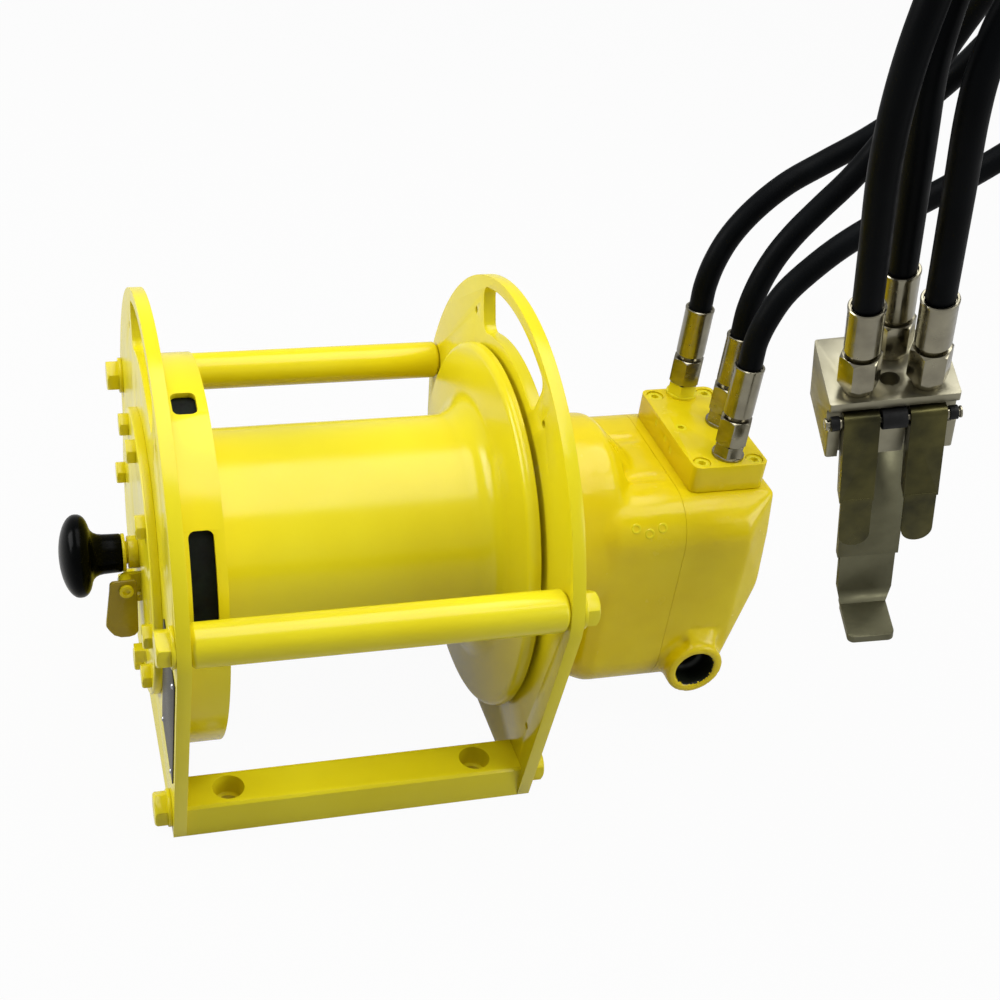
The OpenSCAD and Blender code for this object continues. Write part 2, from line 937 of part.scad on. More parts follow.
// Cross-section of the motor body drawn smaller all round
module body_section_inset(d) {
    for (s = [-1, 1]) {
        translate([s * body_top_y, deck_z - body_top_r])
            circle(r = body_top_r - d, $fn = edge_fn);
        translate([s * body_bottom_y, body_low_z + body_bottom_r])
            circle(r = body_bottom_r - d, $fn = edge_fn);
    }
}

module motor_screw_space() {
    x_rod(out_x - eps, motor_screw_x1 + eps, motor_screw_d / 2 + fit, fine_fn);
}

module end_screw_space(x0, x1, r) {
    for (p = end_screw_spots)
        translate([0, p[0], p[1]])
            x_rod(x0, x1, r, fine_fn);
}

module motor_housing() {
    color(paint)
        difference() {
            union() {
                on_axis() {
                    x_rod(out_x, neck_x1, neck_r, round_fn * 2);
                    x_cone(neck_x1, cone_x1, neck_r, cone_r, round_fn * 2);
                }
                along_x(body_x0 + body_round, split_x)
                    body_section(round_fn);
                hull() {
                    along_x(body_x0, body_x0 + end_slab_t)
                        body_section_inset(body_round);
                    along_x(body_x0 + shoulder_in, body_x0 + shoulder_in + end_slab_t)
                        body_section_inset(shoulder_in);
                    along_x(body_x0 + body_round, body_x0 + body_round + end_slab_t)
                        body_section_inset(0);
                }
            }
            on_axis() {
                x_rod(out_x - eps, split_x + eps, motor_bearing_r);
                x_rod(chamber_x, split_x + eps, liner_r);
            }
            for (a = motor_screw_angles)
                at_polar(motor_screw_r, a)
                    motor_screw_space();
            end_screw_space(end_screw_tip - eps, split_x + eps, end_screw_r);
            for (y = dent_y)
                translate([0, y, dent_z])
                    x_rod(dent_x[0], dent_x[1], dent_r, fine_fn);
        }
}

// End section of the motor cover, symmetric about the axis plane
module end_section() {
    polygon(concat(
        end_front,
        [for (i = [len(end_front) - 1:-1:0]) [-end_front[i][0], end_front[i][1]]]));
}

module motor_end_cover() {
    color(paint)
        difference() {
            union() {
                along_x(split_x, cover_flat_x)
                    body_section(round_fn);
                hull() {
                    along_x(cover_flat_x - end_slab_t, cover_flat_x)
                        body_section_inset(0);
                    along_x(end_x - end_slab_t, end_x)
                        end_section();
                }
                translate([port_x, 0, port_z])
                    rotate([90, 0, 0])
                        z_rod(body_bottom_y, -port_y, port_boss_r, round_fn);
                translate([port_web_x[0], port_web_y0, port_z])
                    cube([
                        port_web_x[1] - port_web_x[0],
                        -port_web_y0 - body_bottom_y,
                        port_web_z1 - port_z]);
            }
            on_axis()
                x_rod(split_x - eps, split_x + motor_bearing_t, motor_bearing_r);
            translate([port_x, 0, port_z])
                rotate([90, 0, 0]) {
                    z_rod(-port_y - port_len, -port_y + eps, port_r, round_fn);
                    translate([0, 0, -port_y - port_mouth_t])
                        cylinder(h = port_mouth_t + eps, r1 = port_r, r2 = port_mouth_r, $fn = round_fn);
                    z_rod(0, -port_y - port_len + eps, port_way_r, fine_fn);
                }
            end_screw_space(split_x - eps, end_x + eps, end_screw_r + fit);
            end_screw_space(end_x - end_screw_sink, end_x + eps, end_screw_head_r + free);
            for (x = m8_x, y = m8_y)
                translate([x, y, 0])
                    z_rod(m8_tip_z - eps, deck_z + eps, m8_r);
        }
}

module end_cover_screws() {
    color(steel)
        for (p = end_screw_spots)
            translate([0, p[0], p[1]]) {
                x_rod(end_screw_tip, end_x - end_screw_sink, end_screw_r, fine_fn);
                difference() {
                    x_rod(end_x - end_screw_sink, end_x - end_slab_t, end_screw_head_r, fine_fn);
                    x_hex(end_x - end_screw_head_t, end_x, end_screw_head_r);
                }
            }
}

module motor_screws() {
    color(steel)
        for (a = motor_screw_angles)
            at_polar(motor_screw_r, a) {
                x_rod(hub_flange_x, motor_screw_x1, motor_screw_d / 2, fine_fn);
                difference() {
                    x_rod(hub_flange_x - screw_head_t, hub_flange_x, screw_head_r, fine_fn);
                    x_hex(hub_flange_x - screw_head_t - eps, hub_flange_x - screw_head_t / 2, screw_head_r);
                }
            }
}

module motor_cylinder() {
    color(steel)
        on_axis()
            difference() {
                x_rod(liner_x0, liner_x1, liner_r);
                translate([0, 0, -liner_ecc])
                    x_rod(liner_x0 - eps, liner_x1 + eps, liner_bore_r);
            }
}

// Closed ball bearing along X with a shallow groove between its rings
module bearing(x0, x1, r_out, r_in) {
    r_mid = (r_out + r_in) / 2;
    difference() {
        x_tube(x0, x1, r_out, r_in);
        x_tube(x0 - eps, x0 + groove_t, r_mid + shield_half, r_mid - shield_half);
        x_tube(x1 - groove_t, x1 + eps, r_mid + shield_half, r_mid - shield_half);
    }
}

module motor_bearings() {
    color(steel)
        on_axis() {
            bearing(out_x + 2, chamber_x, motor_bearing_r, shaft_r + fit);
            bearing(split_x, split_x + motor_bearing_t, motor_bearing_r, shaft_r + fit);
            bearing(hub_bearing_x[0], hub_bearing_x[1], hub_bore_r, shaft_r + fit);
        }
}

module gearbox_hub() {
    color(steel)
        difference() {
            on_axis() {
                x_rod(hub_nose_x, hub_x0, hub_nose_r);
                x_rod(hub_x0, drum_bearing_x0, hub_neck_r);
                x_rod(drum_bearing_x0, hub_flange_x, hub_sleeve_r);
                x_rod(hub_flange_x, in_x, hub_flange_r);
                x_rod(in_x, out_x, hub_sleeve_r);
            }
            on_axis() {
                x_rod(hub_nose_x - eps, out_x + eps, hub_nose_bore_r);
                x_rod(hub_bearing_x[0], out_x + eps, hub_bore_r);
            }
            for (a = motor_screw_angles)
                at_polar(motor_screw_r, a)
                    x_rod(hub_flange_x - eps, in_x + eps, motor_screw_d / 2 + fit, fine_fn);
        }
}

module drum_bearings() {
    color(steel)
        on_axis() {
            bearing(drum_bearing_x0, drum_bearing_x1, drum_bore_r - fit, hub_sleeve_r);
            bearing(-out_x + bearing_step, bearing_in_x, bearing_out_r, journal_r + fit);
        }
}

// Places children at a planet gear's centre, the angle is measured from +Y
module at_planet(a) {
    translate([0, planet_orbit_r * cos(a), axis_z + planet_orbit_r * sin(a)])
        children();
}

module planet_carrier() {
    color(steel)
        difference() {
            union() {
                on_axis() {
                    x_rod(carrier_x0, carrier_x1, carrier_r);
                    x_tube(cheek_x0, cheek_x1, carrier_r, hub_nose_r);
                }
                for (a = planet_angles)
                    at_planet(a) {
                        x_rod(carrier_x1 - pin_seat, cheek_x0 + pin_seat, planet_pin_r);
                        x_rod(carrier_x1 - pin_seat, gear_x0 - seat, planet_step_r);
                        x_rod(gear_x1 + seat, cheek_x0 + 1, planet_step_r);
                    }
            }
            on_axis()
                x_hex(carrier_x0 - eps, carrier_x1 - dog_wall, dog_af + 2 * fit);
        }
}

// Block outline with rounded vertical corners
module rounded_square(x0, x1, y0, y1, r) {
    translate([x0 + r, y0])
        square([x1 - x0 - 2 * r, y1 - y0]);
    translate([x0, y0 + r])
        square([x1 - x0, y1 - y0 - 2 * r]);
    for (x = [x0 + r, x1 - r], y = [y0 + r, y1 - r])
        translate([x, y])
            circle(r = r, $fn = fine_fn);
}

module manifold_block() {
    color(paint)
        difference() {
            translate([0, 0, deck_z])
                linear_extrude(height = block_top_z - deck_z)
                    rounded_square(block_x[0], block_x[1], block_y[0], block_y[1], block_corner_r);
            for (x = m8_x, y = m8_y)
                translate([x, y, 0]) {
                    z_rod(deck_z - eps, block_top_z + eps, m8_r + fit);
                    z_rod(block_top_z - m8_cbore_t, block_top_z + eps, m8_cbore_r);
                }
            for (p = hose_ports)
                translate([p[0], p[1], 0]) {
                    z_rod(block_top_z - thread_len, block_top_z + eps, thread_r);
                    z_rod(deck_z - eps, block_top_z, gas_bore_r);
                }
            translate([top_plug[0], top_plug[1], 0])
                z_rod(block_top_z - plug_len, block_top_z + eps, top_plug_r);
            for (p = side_plugs)
                translate([0, p[0], p[1]])
                    x_rod(block_x[0] - eps, block_x[0] + side_plug_len, side_plug_r, fine_fn);
        }
}

module manifold_screws() {
    color(steel)
        for (x = m8_x, y = m8_y)
            translate([x, y, 0]) {
                z_rod(m8_tip_z, block_top_z - m8_cbore_t, m8_r);
                difference() {
                    z_rod(block_top_z - m8_cbore_t, block_top_z - m8_head_gap, m8_head_r);
                    z_hex(block_top_z - m8_socket_t - 1, block_top_z, m8_socket_af);
                }
            }
}

module small_plugs() {
    color(steel) {
        translate([top_plug[0], top_plug[1], 0])
            difference() {
                z_rod(block_top_z - plug_len, block_top_z - seat, top_plug_r);
                z_hex(block_top_z - plug_key_t, block_top_z, top_plug_r);
            }
        for (p = side_plugs)
            translate([0, p[0], p[1]])
                x_rod(block_x[0] + seat, block_x[0] + side_plug_len, side_plug_r, fine_fn);
    }
}

// Adaptor body from the seat upwards, the shank goes down into the thread
module adaptor(z0, z1, af) {
    difference() {
        union() {
            z_rod(z0 - thread_len, z0 + port_washer_t, thread_r);
            z_hex(z0 + port_washer_t, z1, af);
            z_rod(z1, z1 + nose_len, nose_r);
            z_rod(z0, z0 + port_washer_t, port_washer_r);
        }
        z_rod(z0 - thread_len - eps, z1 + nose_len + eps, gas_bore_r);
    }
}

module hose_adaptors() {
    color(nickel)
        for (p = hose_ports)
            translate([p[0], p[1], 0])
                adaptor(block_top_z, adaptor_z1, adaptor_af);
}

// Union nut with a blind bore over the adaptor's nose
module hose_nut(z0, z1, nose_z) {
    h = z1 - z0;
    difference() {
        intersection() {
            z_hex(z0, z1, nut_af);
            translate([0, 0, z0])
                cylinder(h = h, r1 = nut_pad_r, r2 = nut_pad_r + h, $fn = fine_fn);
            translate([0, 0, z0])
                cylinder(h = h, r1 = nut_pad_r + h, r2 = nut_pad_r, $fn = fine_fn);
        }
        z_rod(z0 - eps, nose_z + seat, nose_r + fit);
    }
}

module in_pendant() {
    translate(pendant_at)
        rotate(pendant_turn)
            children();
}

module hose_nuts() {
    color(nickel) {
        for (p = hose_ports)
            translate([p[0], p[1], 0])
                hose_nut(nut_z0, nut_z1, adaptor_z1 + nose_len);
        in_pendant()
            for (p = pendant_ports)
                translate([p[0], p[1], 0])
                    hose_nut(p_nut_z0, p_nut_z1, p_ring_z1 + nose_len);
    }
}

// Crimped ferrule with a lip at each end
module ferrule(z0, z1) {
    r = ferrule_d / 2;
    z_rod(z0, z0 + ferrule_lip_t, r);
    z_rod(z0, z1, r - ferrule_bead_t);
    z_rod(z1 - ferrule_lip_t, z1, r);
}

module hose_ferrules() {
    color(nickel) {
        for (p = hose_ports)
            translate([p[0], p[1], 0])
                ferrule(nut_z1, ferrule_z1);
        in_pendant()
            for (p = pendant_ports)
                translate([p[0], p[1], 0])
                    ferrule(p_nut_z1, p_ferrule_z1);
    }
}

module pendant_adaptors() {
    color(nickel)
        in_pendant()
            for (p = pendant_ports)
                translate([p[0], p[1], 0])
                    difference() {
                        union() {
                            z_rod(p_top - p_shank, p_top, thread_r);
                            z_rod(p_top, p_ring_z1, p_ring_r);
                            z_rod(p_ring_z1, p_ring_z1 + nose_len, nose_r);
                        }
                        z_rod(p_top - p_shank - eps, p_ring_z1 + nose_len + eps, gas_bore_r);
                    }
}

function unit(v) = v / norm(v);

// Position in the frame of a point given in the pendant's own frame
function from_pendant(p) = let(
    c = [for (a = pendant_turn) cos(a)],
    s = [for (a = pendant_turn) sin(a)],
    q = [p[0], p[1] * c[0] - p[2] * s[0], p[1] * s[0] + p[2] * c[0]],
    w = [q[0] * c[1] + q[2] * s[1], q[1], q[2] * c[1] - q[0] * s[1]])
    pendant_at + [w[0] * c[2] - w[1] * s[2], w[0] * s[2] + w[1] * c[2], w[2]];

// Route from the manifold down to one port of the pendant
function full_route(route, port, lead) = concat(
    route, [for (z = lead) from_pendant([port[0], port[1], z])]);

function route_heading(p, i) = unit(p[min(i + 1, len(p) - 1)] - p[max(i - 1, 0)]);

// Side directions carried along the route without twist
function route_sides(p, i, n) = i >= len(p) ? [] : let(
    t = route_heading(p, i),
    m = unit(n - (n * t) * t))
    concat([m], route_sides(p, i + 1, m));

module hose_tube(p) {
    side = route_sides(p, 0, [0, 1, 0]);
    last = (len(p) - 1) * hose_sides;
    points = [for (i = [0:len(p) - 1], k = [0:hose_sides - 1]) let(
        a = 360 * k / hose_sides,
        t = route_heading(p, i),
        b = cross(t, side[i]))
        p[i] + hose_r * (cos(a) * side[i] + sin(a) * b)];
    walls = [for (i = [0:len(p) - 2], k = [0:hose_sides - 1], h = [0, 1]) let(
        k1 = (k + 1) % hose_sides,
        a = i * hose_sides + k,
        b = i * hose_sides + k1,
        c = a + hose_sides,
        d = b + hose_sides)
        h == 0 ? [a, c, d] : [a, d, b]];
    ends = [
        [for (k = [0:hose_sides - 1]) k],
        [for (k = [hose_sides - 1:-1:0]) last + k]];
    polyhedron(points = points, faces = concat(walls, ends));
}

module hose_a() {
    color(black)
        hose_tube(full_route(hose_route_a, pendant_ports[0], hose_lead_a));
}

module hose_b() {
    color(black)
        hose_tube(full_route(hose_route_b, pendant_ports[1], hose_lead_b));
}

module hose_c() {
    color(black)
        hose_tube(full_route(hose_route_c, pendant_ports[2], hose_lead_c));
}

// Box between two corners
module box(lo, hi) {
    translate(lo)
        cube(hi - lo);
}

module on_pivot() {
    translate([0, pivot_y, pivot_z])
        children();
}

module pendant_block() {
    half = [pendant_w / 2, pendant_d / 2, p_top];
    e = block_edge;
    color(nickel)
        in_pendant()
            difference() {
                union() {
                    box([-half[0] + e, -half[1], -half[2]], [half[0] - e, half[1], half[2]]);
                    box([-half[0], -half[1] + e, -half[2]], [half[0], half[1] - e, half[2]]);
                    for (x = [e - half[0], half[0] - e], y = [e - half[1], half[1] - e])
                        translate([x, y, 0])
                            z_rod(-half[2], half[2], e, edge_fn);
                }
                on_pivot()
                    x_rod(-pendant_w, pendant_w, groove_r);
                for (s = [-1, 1]) {
                    box(
                        [s * lever_x - lever_w / 2 - pocket_side, p_front - eps, -p_top - eps],
                        [s * lever_x + lever_w / 2 + pocket_side, pocket_y, pivot_z]);
                    translate([s * lever_x, 0, plunger_z])
                        rotate([90, 0, 0])
                            z_rod(-plunger_bore_y, -pocket_y + eps, plunger_r + fit);
                }
                for (p = pendant_ports)
                    translate([p[0], p[1], 0])
                        z_rod(p_top - p_shank, p_top + eps, thread_r);
                translate([p_hole[0], p_hole[1], 0])
                    z_rod(p_top - p_hole_t, p_top + eps, p_hole_r);
            }
}

module pendant_grip() {
    run = grip_front[1] - grip_front[0];
    lean = atan(run[0] / run[1]);
    h = grip_half;
    z0 = -p_top;
    color(nickel)
        in_pendant() {
            intersection() {
                along_x(-h[0], h[0])
                    polygon([
                        [grip_front[0][0], z0], [grip_front[1][0], grip_front[1][1]],
                        [grip_front[1][0], grip_front[1][1] - grip_t / 2],
                        [grip_front[1][0] + grip_t, grip_front[1][1] - grip_t / 2],
                        [grip_front[0][0] + grip_t, z0 - grip_t], [grip_flange_y, z0 - grip_t],
                        [grip_flange_y, z0]]);
                rotate([90, 0, 0])
                    linear_extrude(height = pendant_w, center = true)
                        polygon([
                            [-h[0], z0], [h[0], z0], [h[0], grip_step_z[0]], [h[1], grip_step_z[0]],
                            [h[1], grip_step_z[0] - grip_foot], [h[2], grip_step_z[1]],
                            [h[2], grip_step_z[1] - grip_foot], [-h[2], grip_step_z[1] - grip_foot],
                            [-h[2], grip_step_z[1]], [-h[1], grip_step_z[0] - grip_foot],
                            [-h[1], grip_step_z[0]], [-h[0], grip_step_z[0]]]);
            }
            translate([0, grip_front[1][0], grip_front[1][1]])
                rotate([-lean, 0, 0])
                    translate([0, 0, -grip_t])
                        linear_extrude(height = grip_t)
                            rounded_square(-h[2], h[2], -grip_foot, grip_t, grip_corner);
        }
}

module pivot_pin() {
    color(steel)
        in_pendant()
            on_pivot() {
                x_rod(-pin_x, pin_x, pivot_r, fine_fn);
                x_rod(-pin_x - pin_head_t, -pin_x, pin_head_r, fine_fn);
                x_tube(pendant_w / 2, pin_x, pin_head_r, pivot_r, fine_fn);
                x_tube(side_bush_x[0] - pin_head_t, side_bush_x[0], pin_head_r, pivot_r, fine_fn);
                x_tube(-side_bush_x[0], -side_bush_x[0] + pin_head_t, pin_head_r, pivot_r, fine_fn);
            }
}

module pivot_bushes() {
    color(black)
        in_pendant()
            on_pivot() {
                x_tube(-mid_bush_x, mid_bush_x, mid_bush_r, pivot_r, fine_fn);
                x_tube(side_bush_x[0], side_bush_x[1], side_bush_r, pivot_r, fine_fn);
                x_tube(-side_bush_x[1], -side_bush_x[0], side_bush_r, pivot_r, fine_fn);
            }
}

// One lever of folded sheet: front face, two side flanges, top fold and tongue
module lever(x) {
    a = lever_top;
    b = lever_foot;
    c = tongue_end;
    w = lever_w / 2;
    t = lever_t;
    color(olive)
        in_pendant()
            difference() {
                union() {
                    along_x(x - w, x + w)
                        polygon([a, b, [b[0] + t, b[1]], [a[0] + t, a[1]]]);
                    along_x(x - tongue_half, x + tongue_half)
                        polygon([
                            b, c, [c[0] + t, c[1]],
                            [b[0] + t, b[1]], [b[0] + t, b[1] + t], [b[0], b[1] + t]]);
                    for (x0 = [x - w, x + w - t])
                        along_x(x0, x0 + t) {
                            polygon([
                                a, b, [b[0] + flange_depth, b[1] + flange_round],
                                [pivot_y + lever_ear_r * ear_share, pivot_z - lever_ear_r * ear_share],
                                [pivot_y, pivot_z]]);
                            translate([pivot_y, pivot_z])
                                circle(r = lever_ear_r, $fn = fine_fn);
                        }
                    box([x - w, a[0], a[1] - t], [x + w, a[0] + top_fold, a[1]]);
                }
                on_pivot()
                    x_rod(x - w - eps, x + w + eps, pivot_r + fit, fine_fn);
            }
}

module lever_left() {
    lever(-lever_x);
}

module lever_right() {
    lever(lever_x);
}

// Valve plunger pushed by a lever
module plunger(x) {
    color(steel)
        in_pendant()
            translate([x, 0, plunger_z])
                rotate([90, 0, 0]) {
                    z_rod(-plunger_y1, -plunger_y0 - plunger_tip_t, plunger_r);
                    z_rod(-plunger_y1, -plunger_y0, plunger_tip_r);
                }
}

module plunger_left() {
    plunger(-lever_x);
}

module plunger_right() {
    plunger(lever_x);
}

module drum() {
    wall_r = brake_rim_r - brake_wall_t;
    color(paint)
        on_axis()
            rotate([0, 90, 0])
                rotate_extrude($fn = round_fn * 2)
                    rotate([0, 0, 90])
                        mirror([0, 1, 0])
                            polygon(concat(
                                [[journal_x, journal_bore_r], [journal_x, journal_r],
                                [web_x0, journal_r], [web_x0, wall_r], [brake_rim_x0, wall_r],
                                [brake_rim_x0, brake_rim_r], [brake_rim_x1, brake_rim_r],
                                [brake_rim_x1, barrel_r]],
                                drum_profile,
                                [[flange_out, flange_r], [flange_out, drum_bore_r],
                                [web_x0 + drum_end_t, drum_bore_r],
                                [web_x0 + drum_end_t, journal_bore_r]]));
}

// Involute function in degrees
function involute(a) = tan(a) * 180 / PI - a;

// Half angle of a tooth at radius r
function tooth_half(teeth, r, slack) = let(
    rp = tooth_module * teeth / 2,
    rb = rp * cos(pressure_angle),
    a = r > rb ? acos(rb / r) : 0)
    90 / teeth - slack / rp * 90 / PI + involute(pressure_angle) - involute(a);

// Outline of a gear whose first tooth is centred on the angle given
function gear_outline(teeth, r0, r1, slack, phase) = let(
    rp = tooth_module * teeth / 2,
    radii = [r0, (r0 + rp) / 2, rp, (rp + r1) / 2, r1],
    n = len(radii))
    [for (i = [0:teeth - 1], j = [0:2 * n - 1]) let(
        up = j < n,
        r = up ? radii[j] : radii[2 * n - 1 - j],
        a = phase + 360 * i / teeth + (up ? -1 : 1) * tooth_half(teeth, r, slack))
        [r * cos(a), r * sin(a)]];

// Outer gear along X with a round bore
module spur_gear(teeth, bore_r, phase) {
    rp = tooth_module * teeth / 2;
    difference() {
        along_x(gear_x0, gear_x1)
            polygon(gear_outline(
                teeth, rp - root_share * tooth_module, rp + tip_share * tooth_module, backlash, phase));
        x_rod(gear_x0 - eps, gear_x1 + eps, bore_r);
    }
}

module ring_gear() {
    rp = tooth_module * ring_teeth / 2;
    color(steel)
        on_axis()
            difference() {
                x_rod(ring_x0, ring_x1, drum_bore_r);
                along_x(ring_x0 - eps, ring_x1 + eps)
                    polygon(gear_outline(
                        ring_teeth, rp - tip_share * tooth_module, rp + root_share * tooth_module,
                        -backlash, 180 / ring_teeth));
            }
}

module sun_gear() {
    color(steel)
        on_axis()
            spur_gear(sun_teeth, sun_seat_r, 0);
}

module planet_gear(a) {
    color(steel)
        at_planet(a)
            spur_gear(planet_teeth, planet_bore_r, a + 180 / planet_teeth);
}

module planet_gear_upper() {
    planet_gear(planet_angles[0]);
}

module planet_gear_rear() {
    planet_gear(planet_angles[1]);
}

module planet_gear_front() {
    planet_gear(planet_angles[2]);
}

module vane_slots(r_out) {
    for (i = [0:vane_count - 1])
        rotate([360 * i / vane_count, 0, 0])
            translate([rotor_x0, -vane_t / 2, rotor_r - vane_depth])
                cube([rotor_x1 - rotor_x0, vane_t, r_out - rotor_r + vane_depth]);
}

module rotor() {
    color(steel)
        on_axis()
            difference() {
                x_tube(rotor_x0, rotor_x1, rotor_r, shaft_r);
                vane_slots(rotor_r + eps);
            }
}

module rotor_vanes() {
    color(black)
        on_axis()
            vane_slots(vane_out_r);
}

module motor_shaft() {
    color(steel)
        on_axis() {
            x_rod(shaft_x0, sun_step_x, sun_seat_r);
            x_rod(sun_step_x, shaft_x1, shaft_r);
        }
}

module clutch_knob() {
    e = knob_edge;
    color(black)
        on_axis()
            difference() {
                union() {
                    x_cone(knob_x0, knob_x0 + e, knob_r - e, knob_r);
                    x_rod(knob_x0 + e, knob_x1 - e, knob_r);
                    x_cone(knob_x1 - e, knob_x1, knob_r, knob_r - 2 * e);
                    x_rod(knob_x1 - eps, knob_neck_x, knob_neck_r);
                }
                x_rod(stem_x0, knob_neck_x + eps, stem_r, fine_fn);
            }
}

module clutch_stem() {
    color(paint)
        on_axis() {
            x_rod(stem_x0, stem_split_x, stem_r, fine_fn);
            x_rod(knob_neck_x, rim_x, knob_neck_r);
        }
}

module clutch_rod() {
    color(steel)
        on_axis() {
            x_rod(stem_split_x, stem_x1, stem_r, fine_fn);
            x_rod(stem_x1, rod_x1 - dog_len, rod_r, fine_fn);
            x_hex(rod_x1 - dog_len, rod_x1, dog_af);
        }
}

module lock_latch() {
    t = latch_t;
    color(paint)
        difference() {
            union() {
                translate([0, latch_y0 + t, 0])
                    rotate([90, 0, 0])
                        linear_extrude(height = t)
                            rounded_square(latch_x0, latch_x1, latch_low_z, latch_top_z, latch_corner);
                box(
                    [latch_x0 + latch_corner, latch_y0, latch_top_z - t],
                    [latch_x1 - latch_corner / 2, latch_y0 + latch_depth, latch_top_z]);
            }
            translate([latch_pivot_x, 0, latch_pivot_z])
                rotate([90, 0, 0])
                    z_rod(-latch_y0 - t - eps, -latch_y0 + eps, latch_pin_r + fit);
        }
}

brake_side_plate();
motor_side_plate();
tie_bar_front();
tie_bar_rear();
base_bar_front();
base_bar_rear();
tie_bolts();
base_bolts();
frame_washers();
brake_guard();
brake_strap();
brake_lining();
brake_anchor();
brake_cover();
cover_bolts();
clutch_collar();
latch_bracket();
latch_screw();
data_plate();
data_plate_rivets();
motor_housing();
motor_end_cover();
end_cover_screws();
motor_screws();
motor_cylinder();
motor_bearings();
gearbox_hub();
drum_bearings();
planet_carrier();
manifold_block();
manifold_screws();
small_plugs();
hose_adaptors();
hose_nuts();
hose_ferrules();
pendant_adaptors();
hose_a();
hose_b();
hose_c();
pendant_block();
pendant_grip();
pivot_pin();
pivot_bushes();
drum();
ring_gear();
rotor();
rotor_vanes();
motor_shaft();
sun_gear();
planet_gear_upper();
planet_gear_rear();
planet_gear_front();
clutch_knob();
clutch_stem();
clutch_rod();
lock_latch();
lever_left();
lever_right();
plunger_left();
plunger_right();
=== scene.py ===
"""Finishes, forms and camera of the air winch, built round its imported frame."""

import json
import logging
import math
from dataclasses import dataclass, field
from enum import Enum
from typing import Sequence

import bpy
from mathutils import Euler, Matrix, Vector

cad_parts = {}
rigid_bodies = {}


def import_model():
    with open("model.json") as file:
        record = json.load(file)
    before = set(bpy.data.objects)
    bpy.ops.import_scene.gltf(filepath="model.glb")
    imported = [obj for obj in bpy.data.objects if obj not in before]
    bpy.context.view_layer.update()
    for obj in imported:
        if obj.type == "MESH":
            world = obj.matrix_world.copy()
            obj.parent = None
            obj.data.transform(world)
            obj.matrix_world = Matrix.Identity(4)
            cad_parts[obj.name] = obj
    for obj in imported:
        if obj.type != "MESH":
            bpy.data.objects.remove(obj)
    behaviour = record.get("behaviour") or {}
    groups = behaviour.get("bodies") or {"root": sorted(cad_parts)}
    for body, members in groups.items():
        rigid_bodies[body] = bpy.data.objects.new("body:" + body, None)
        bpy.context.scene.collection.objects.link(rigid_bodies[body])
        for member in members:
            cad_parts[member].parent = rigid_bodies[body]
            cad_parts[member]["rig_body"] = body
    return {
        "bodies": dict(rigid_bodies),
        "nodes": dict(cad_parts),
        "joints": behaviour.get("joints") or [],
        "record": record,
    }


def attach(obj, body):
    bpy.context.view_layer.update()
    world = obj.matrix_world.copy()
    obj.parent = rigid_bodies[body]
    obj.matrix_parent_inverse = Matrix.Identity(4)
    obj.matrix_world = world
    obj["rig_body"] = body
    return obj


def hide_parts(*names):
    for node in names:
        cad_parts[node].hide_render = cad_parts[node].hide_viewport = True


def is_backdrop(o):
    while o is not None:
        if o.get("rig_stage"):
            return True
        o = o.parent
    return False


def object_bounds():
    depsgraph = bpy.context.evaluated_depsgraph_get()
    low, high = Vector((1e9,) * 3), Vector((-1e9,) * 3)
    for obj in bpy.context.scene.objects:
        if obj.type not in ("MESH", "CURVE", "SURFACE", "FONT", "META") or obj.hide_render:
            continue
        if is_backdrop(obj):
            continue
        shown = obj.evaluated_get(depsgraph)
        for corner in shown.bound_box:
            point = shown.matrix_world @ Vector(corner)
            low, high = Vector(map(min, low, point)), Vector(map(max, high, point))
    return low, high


LOG = logging.getLogger("air_winch")
MM = 0.001
# Height of the drum axis, in millimetres
AXIS_Z = 160.0
# Distances in millimetres within which points of a drawn line and of a copy join
LINE_WELD = 0.01
COPY_WELD = 0.005
# Angles in degrees: faces that count as one, edges that are rounded, edges shaded smooth
FLAT_ANGLE = 0.4
EDGE_ANGLE = 30.0
SMOOTH_ANGLE = 32.0
# Refraction of every finish that isn't metal
COATING_IOR = 1.5
# How many times finer than its colour patches a finish's gloss varies
GLOSS_DETAIL = 3
Point = tuple[float, float, float]
Profile = Sequence[tuple[float, float]]


class Body(Enum):
    """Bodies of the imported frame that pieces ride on."""

    FRAME = "frame"
    DRUM = "drum"
    CLUTCH = "clutch"
    LATCH = "latch"
    LEVER_LEFT = "lever_left"
    LEVER_RIGHT = "lever_right"


# ---- camera and hoses -------------------------------------------------------


@dataclass(frozen=True)
class PhotoCamera:
    """Camera at the photograph's viewing angle."""

    place: Point = (-230.98, -949.25, 874.40)
    yaw: float = 0.3080
    pitch: float = 0.6570
    roll: float = 0.1046
    lens: float = 53.57
    sensor: float = 36.0
    shift: tuple[float, float] = (0.0943, 0.0814)
    near: float = 0.05
    far: float = 50.0

    def build(self) -> bpy.types.Object:
        """Makes the camera and hands it to the scene.

        Returns:
            The camera object.
        """
        ahead = Vector((
            math.sin(self.yaw) * math.cos(self.pitch),
            math.cos(self.yaw) * math.cos(self.pitch),
            -math.sin(self.pitch),
        ))
        right = Vector((math.cos(self.yaw), -math.sin(self.yaw), 0.0))
        up = right.cross(ahead)
        c, s = math.cos(self.roll), math.sin(self.roll)
        columns = (c * right + s * up, c * up - s * right, -ahead)
        data = bpy.data.cameras.new("photo_camera")
        data.sensor_width, data.lens = self.sensor, self.lens
        data.shift_x, data.shift_y = self.shift
        data.clip_start, data.clip_end = self.near, self.far
        camera = bpy.data.objects.new("photo_camera", data)
        bpy.context.scene.collection.objects.link(camera)
        turn = Matrix(columns).transposed().to_4x4()
        camera.matrix_world = Matrix.Translation(Vector(self.place) * MM) @ turn
        bpy.context.scene.camera = camera
        return camera


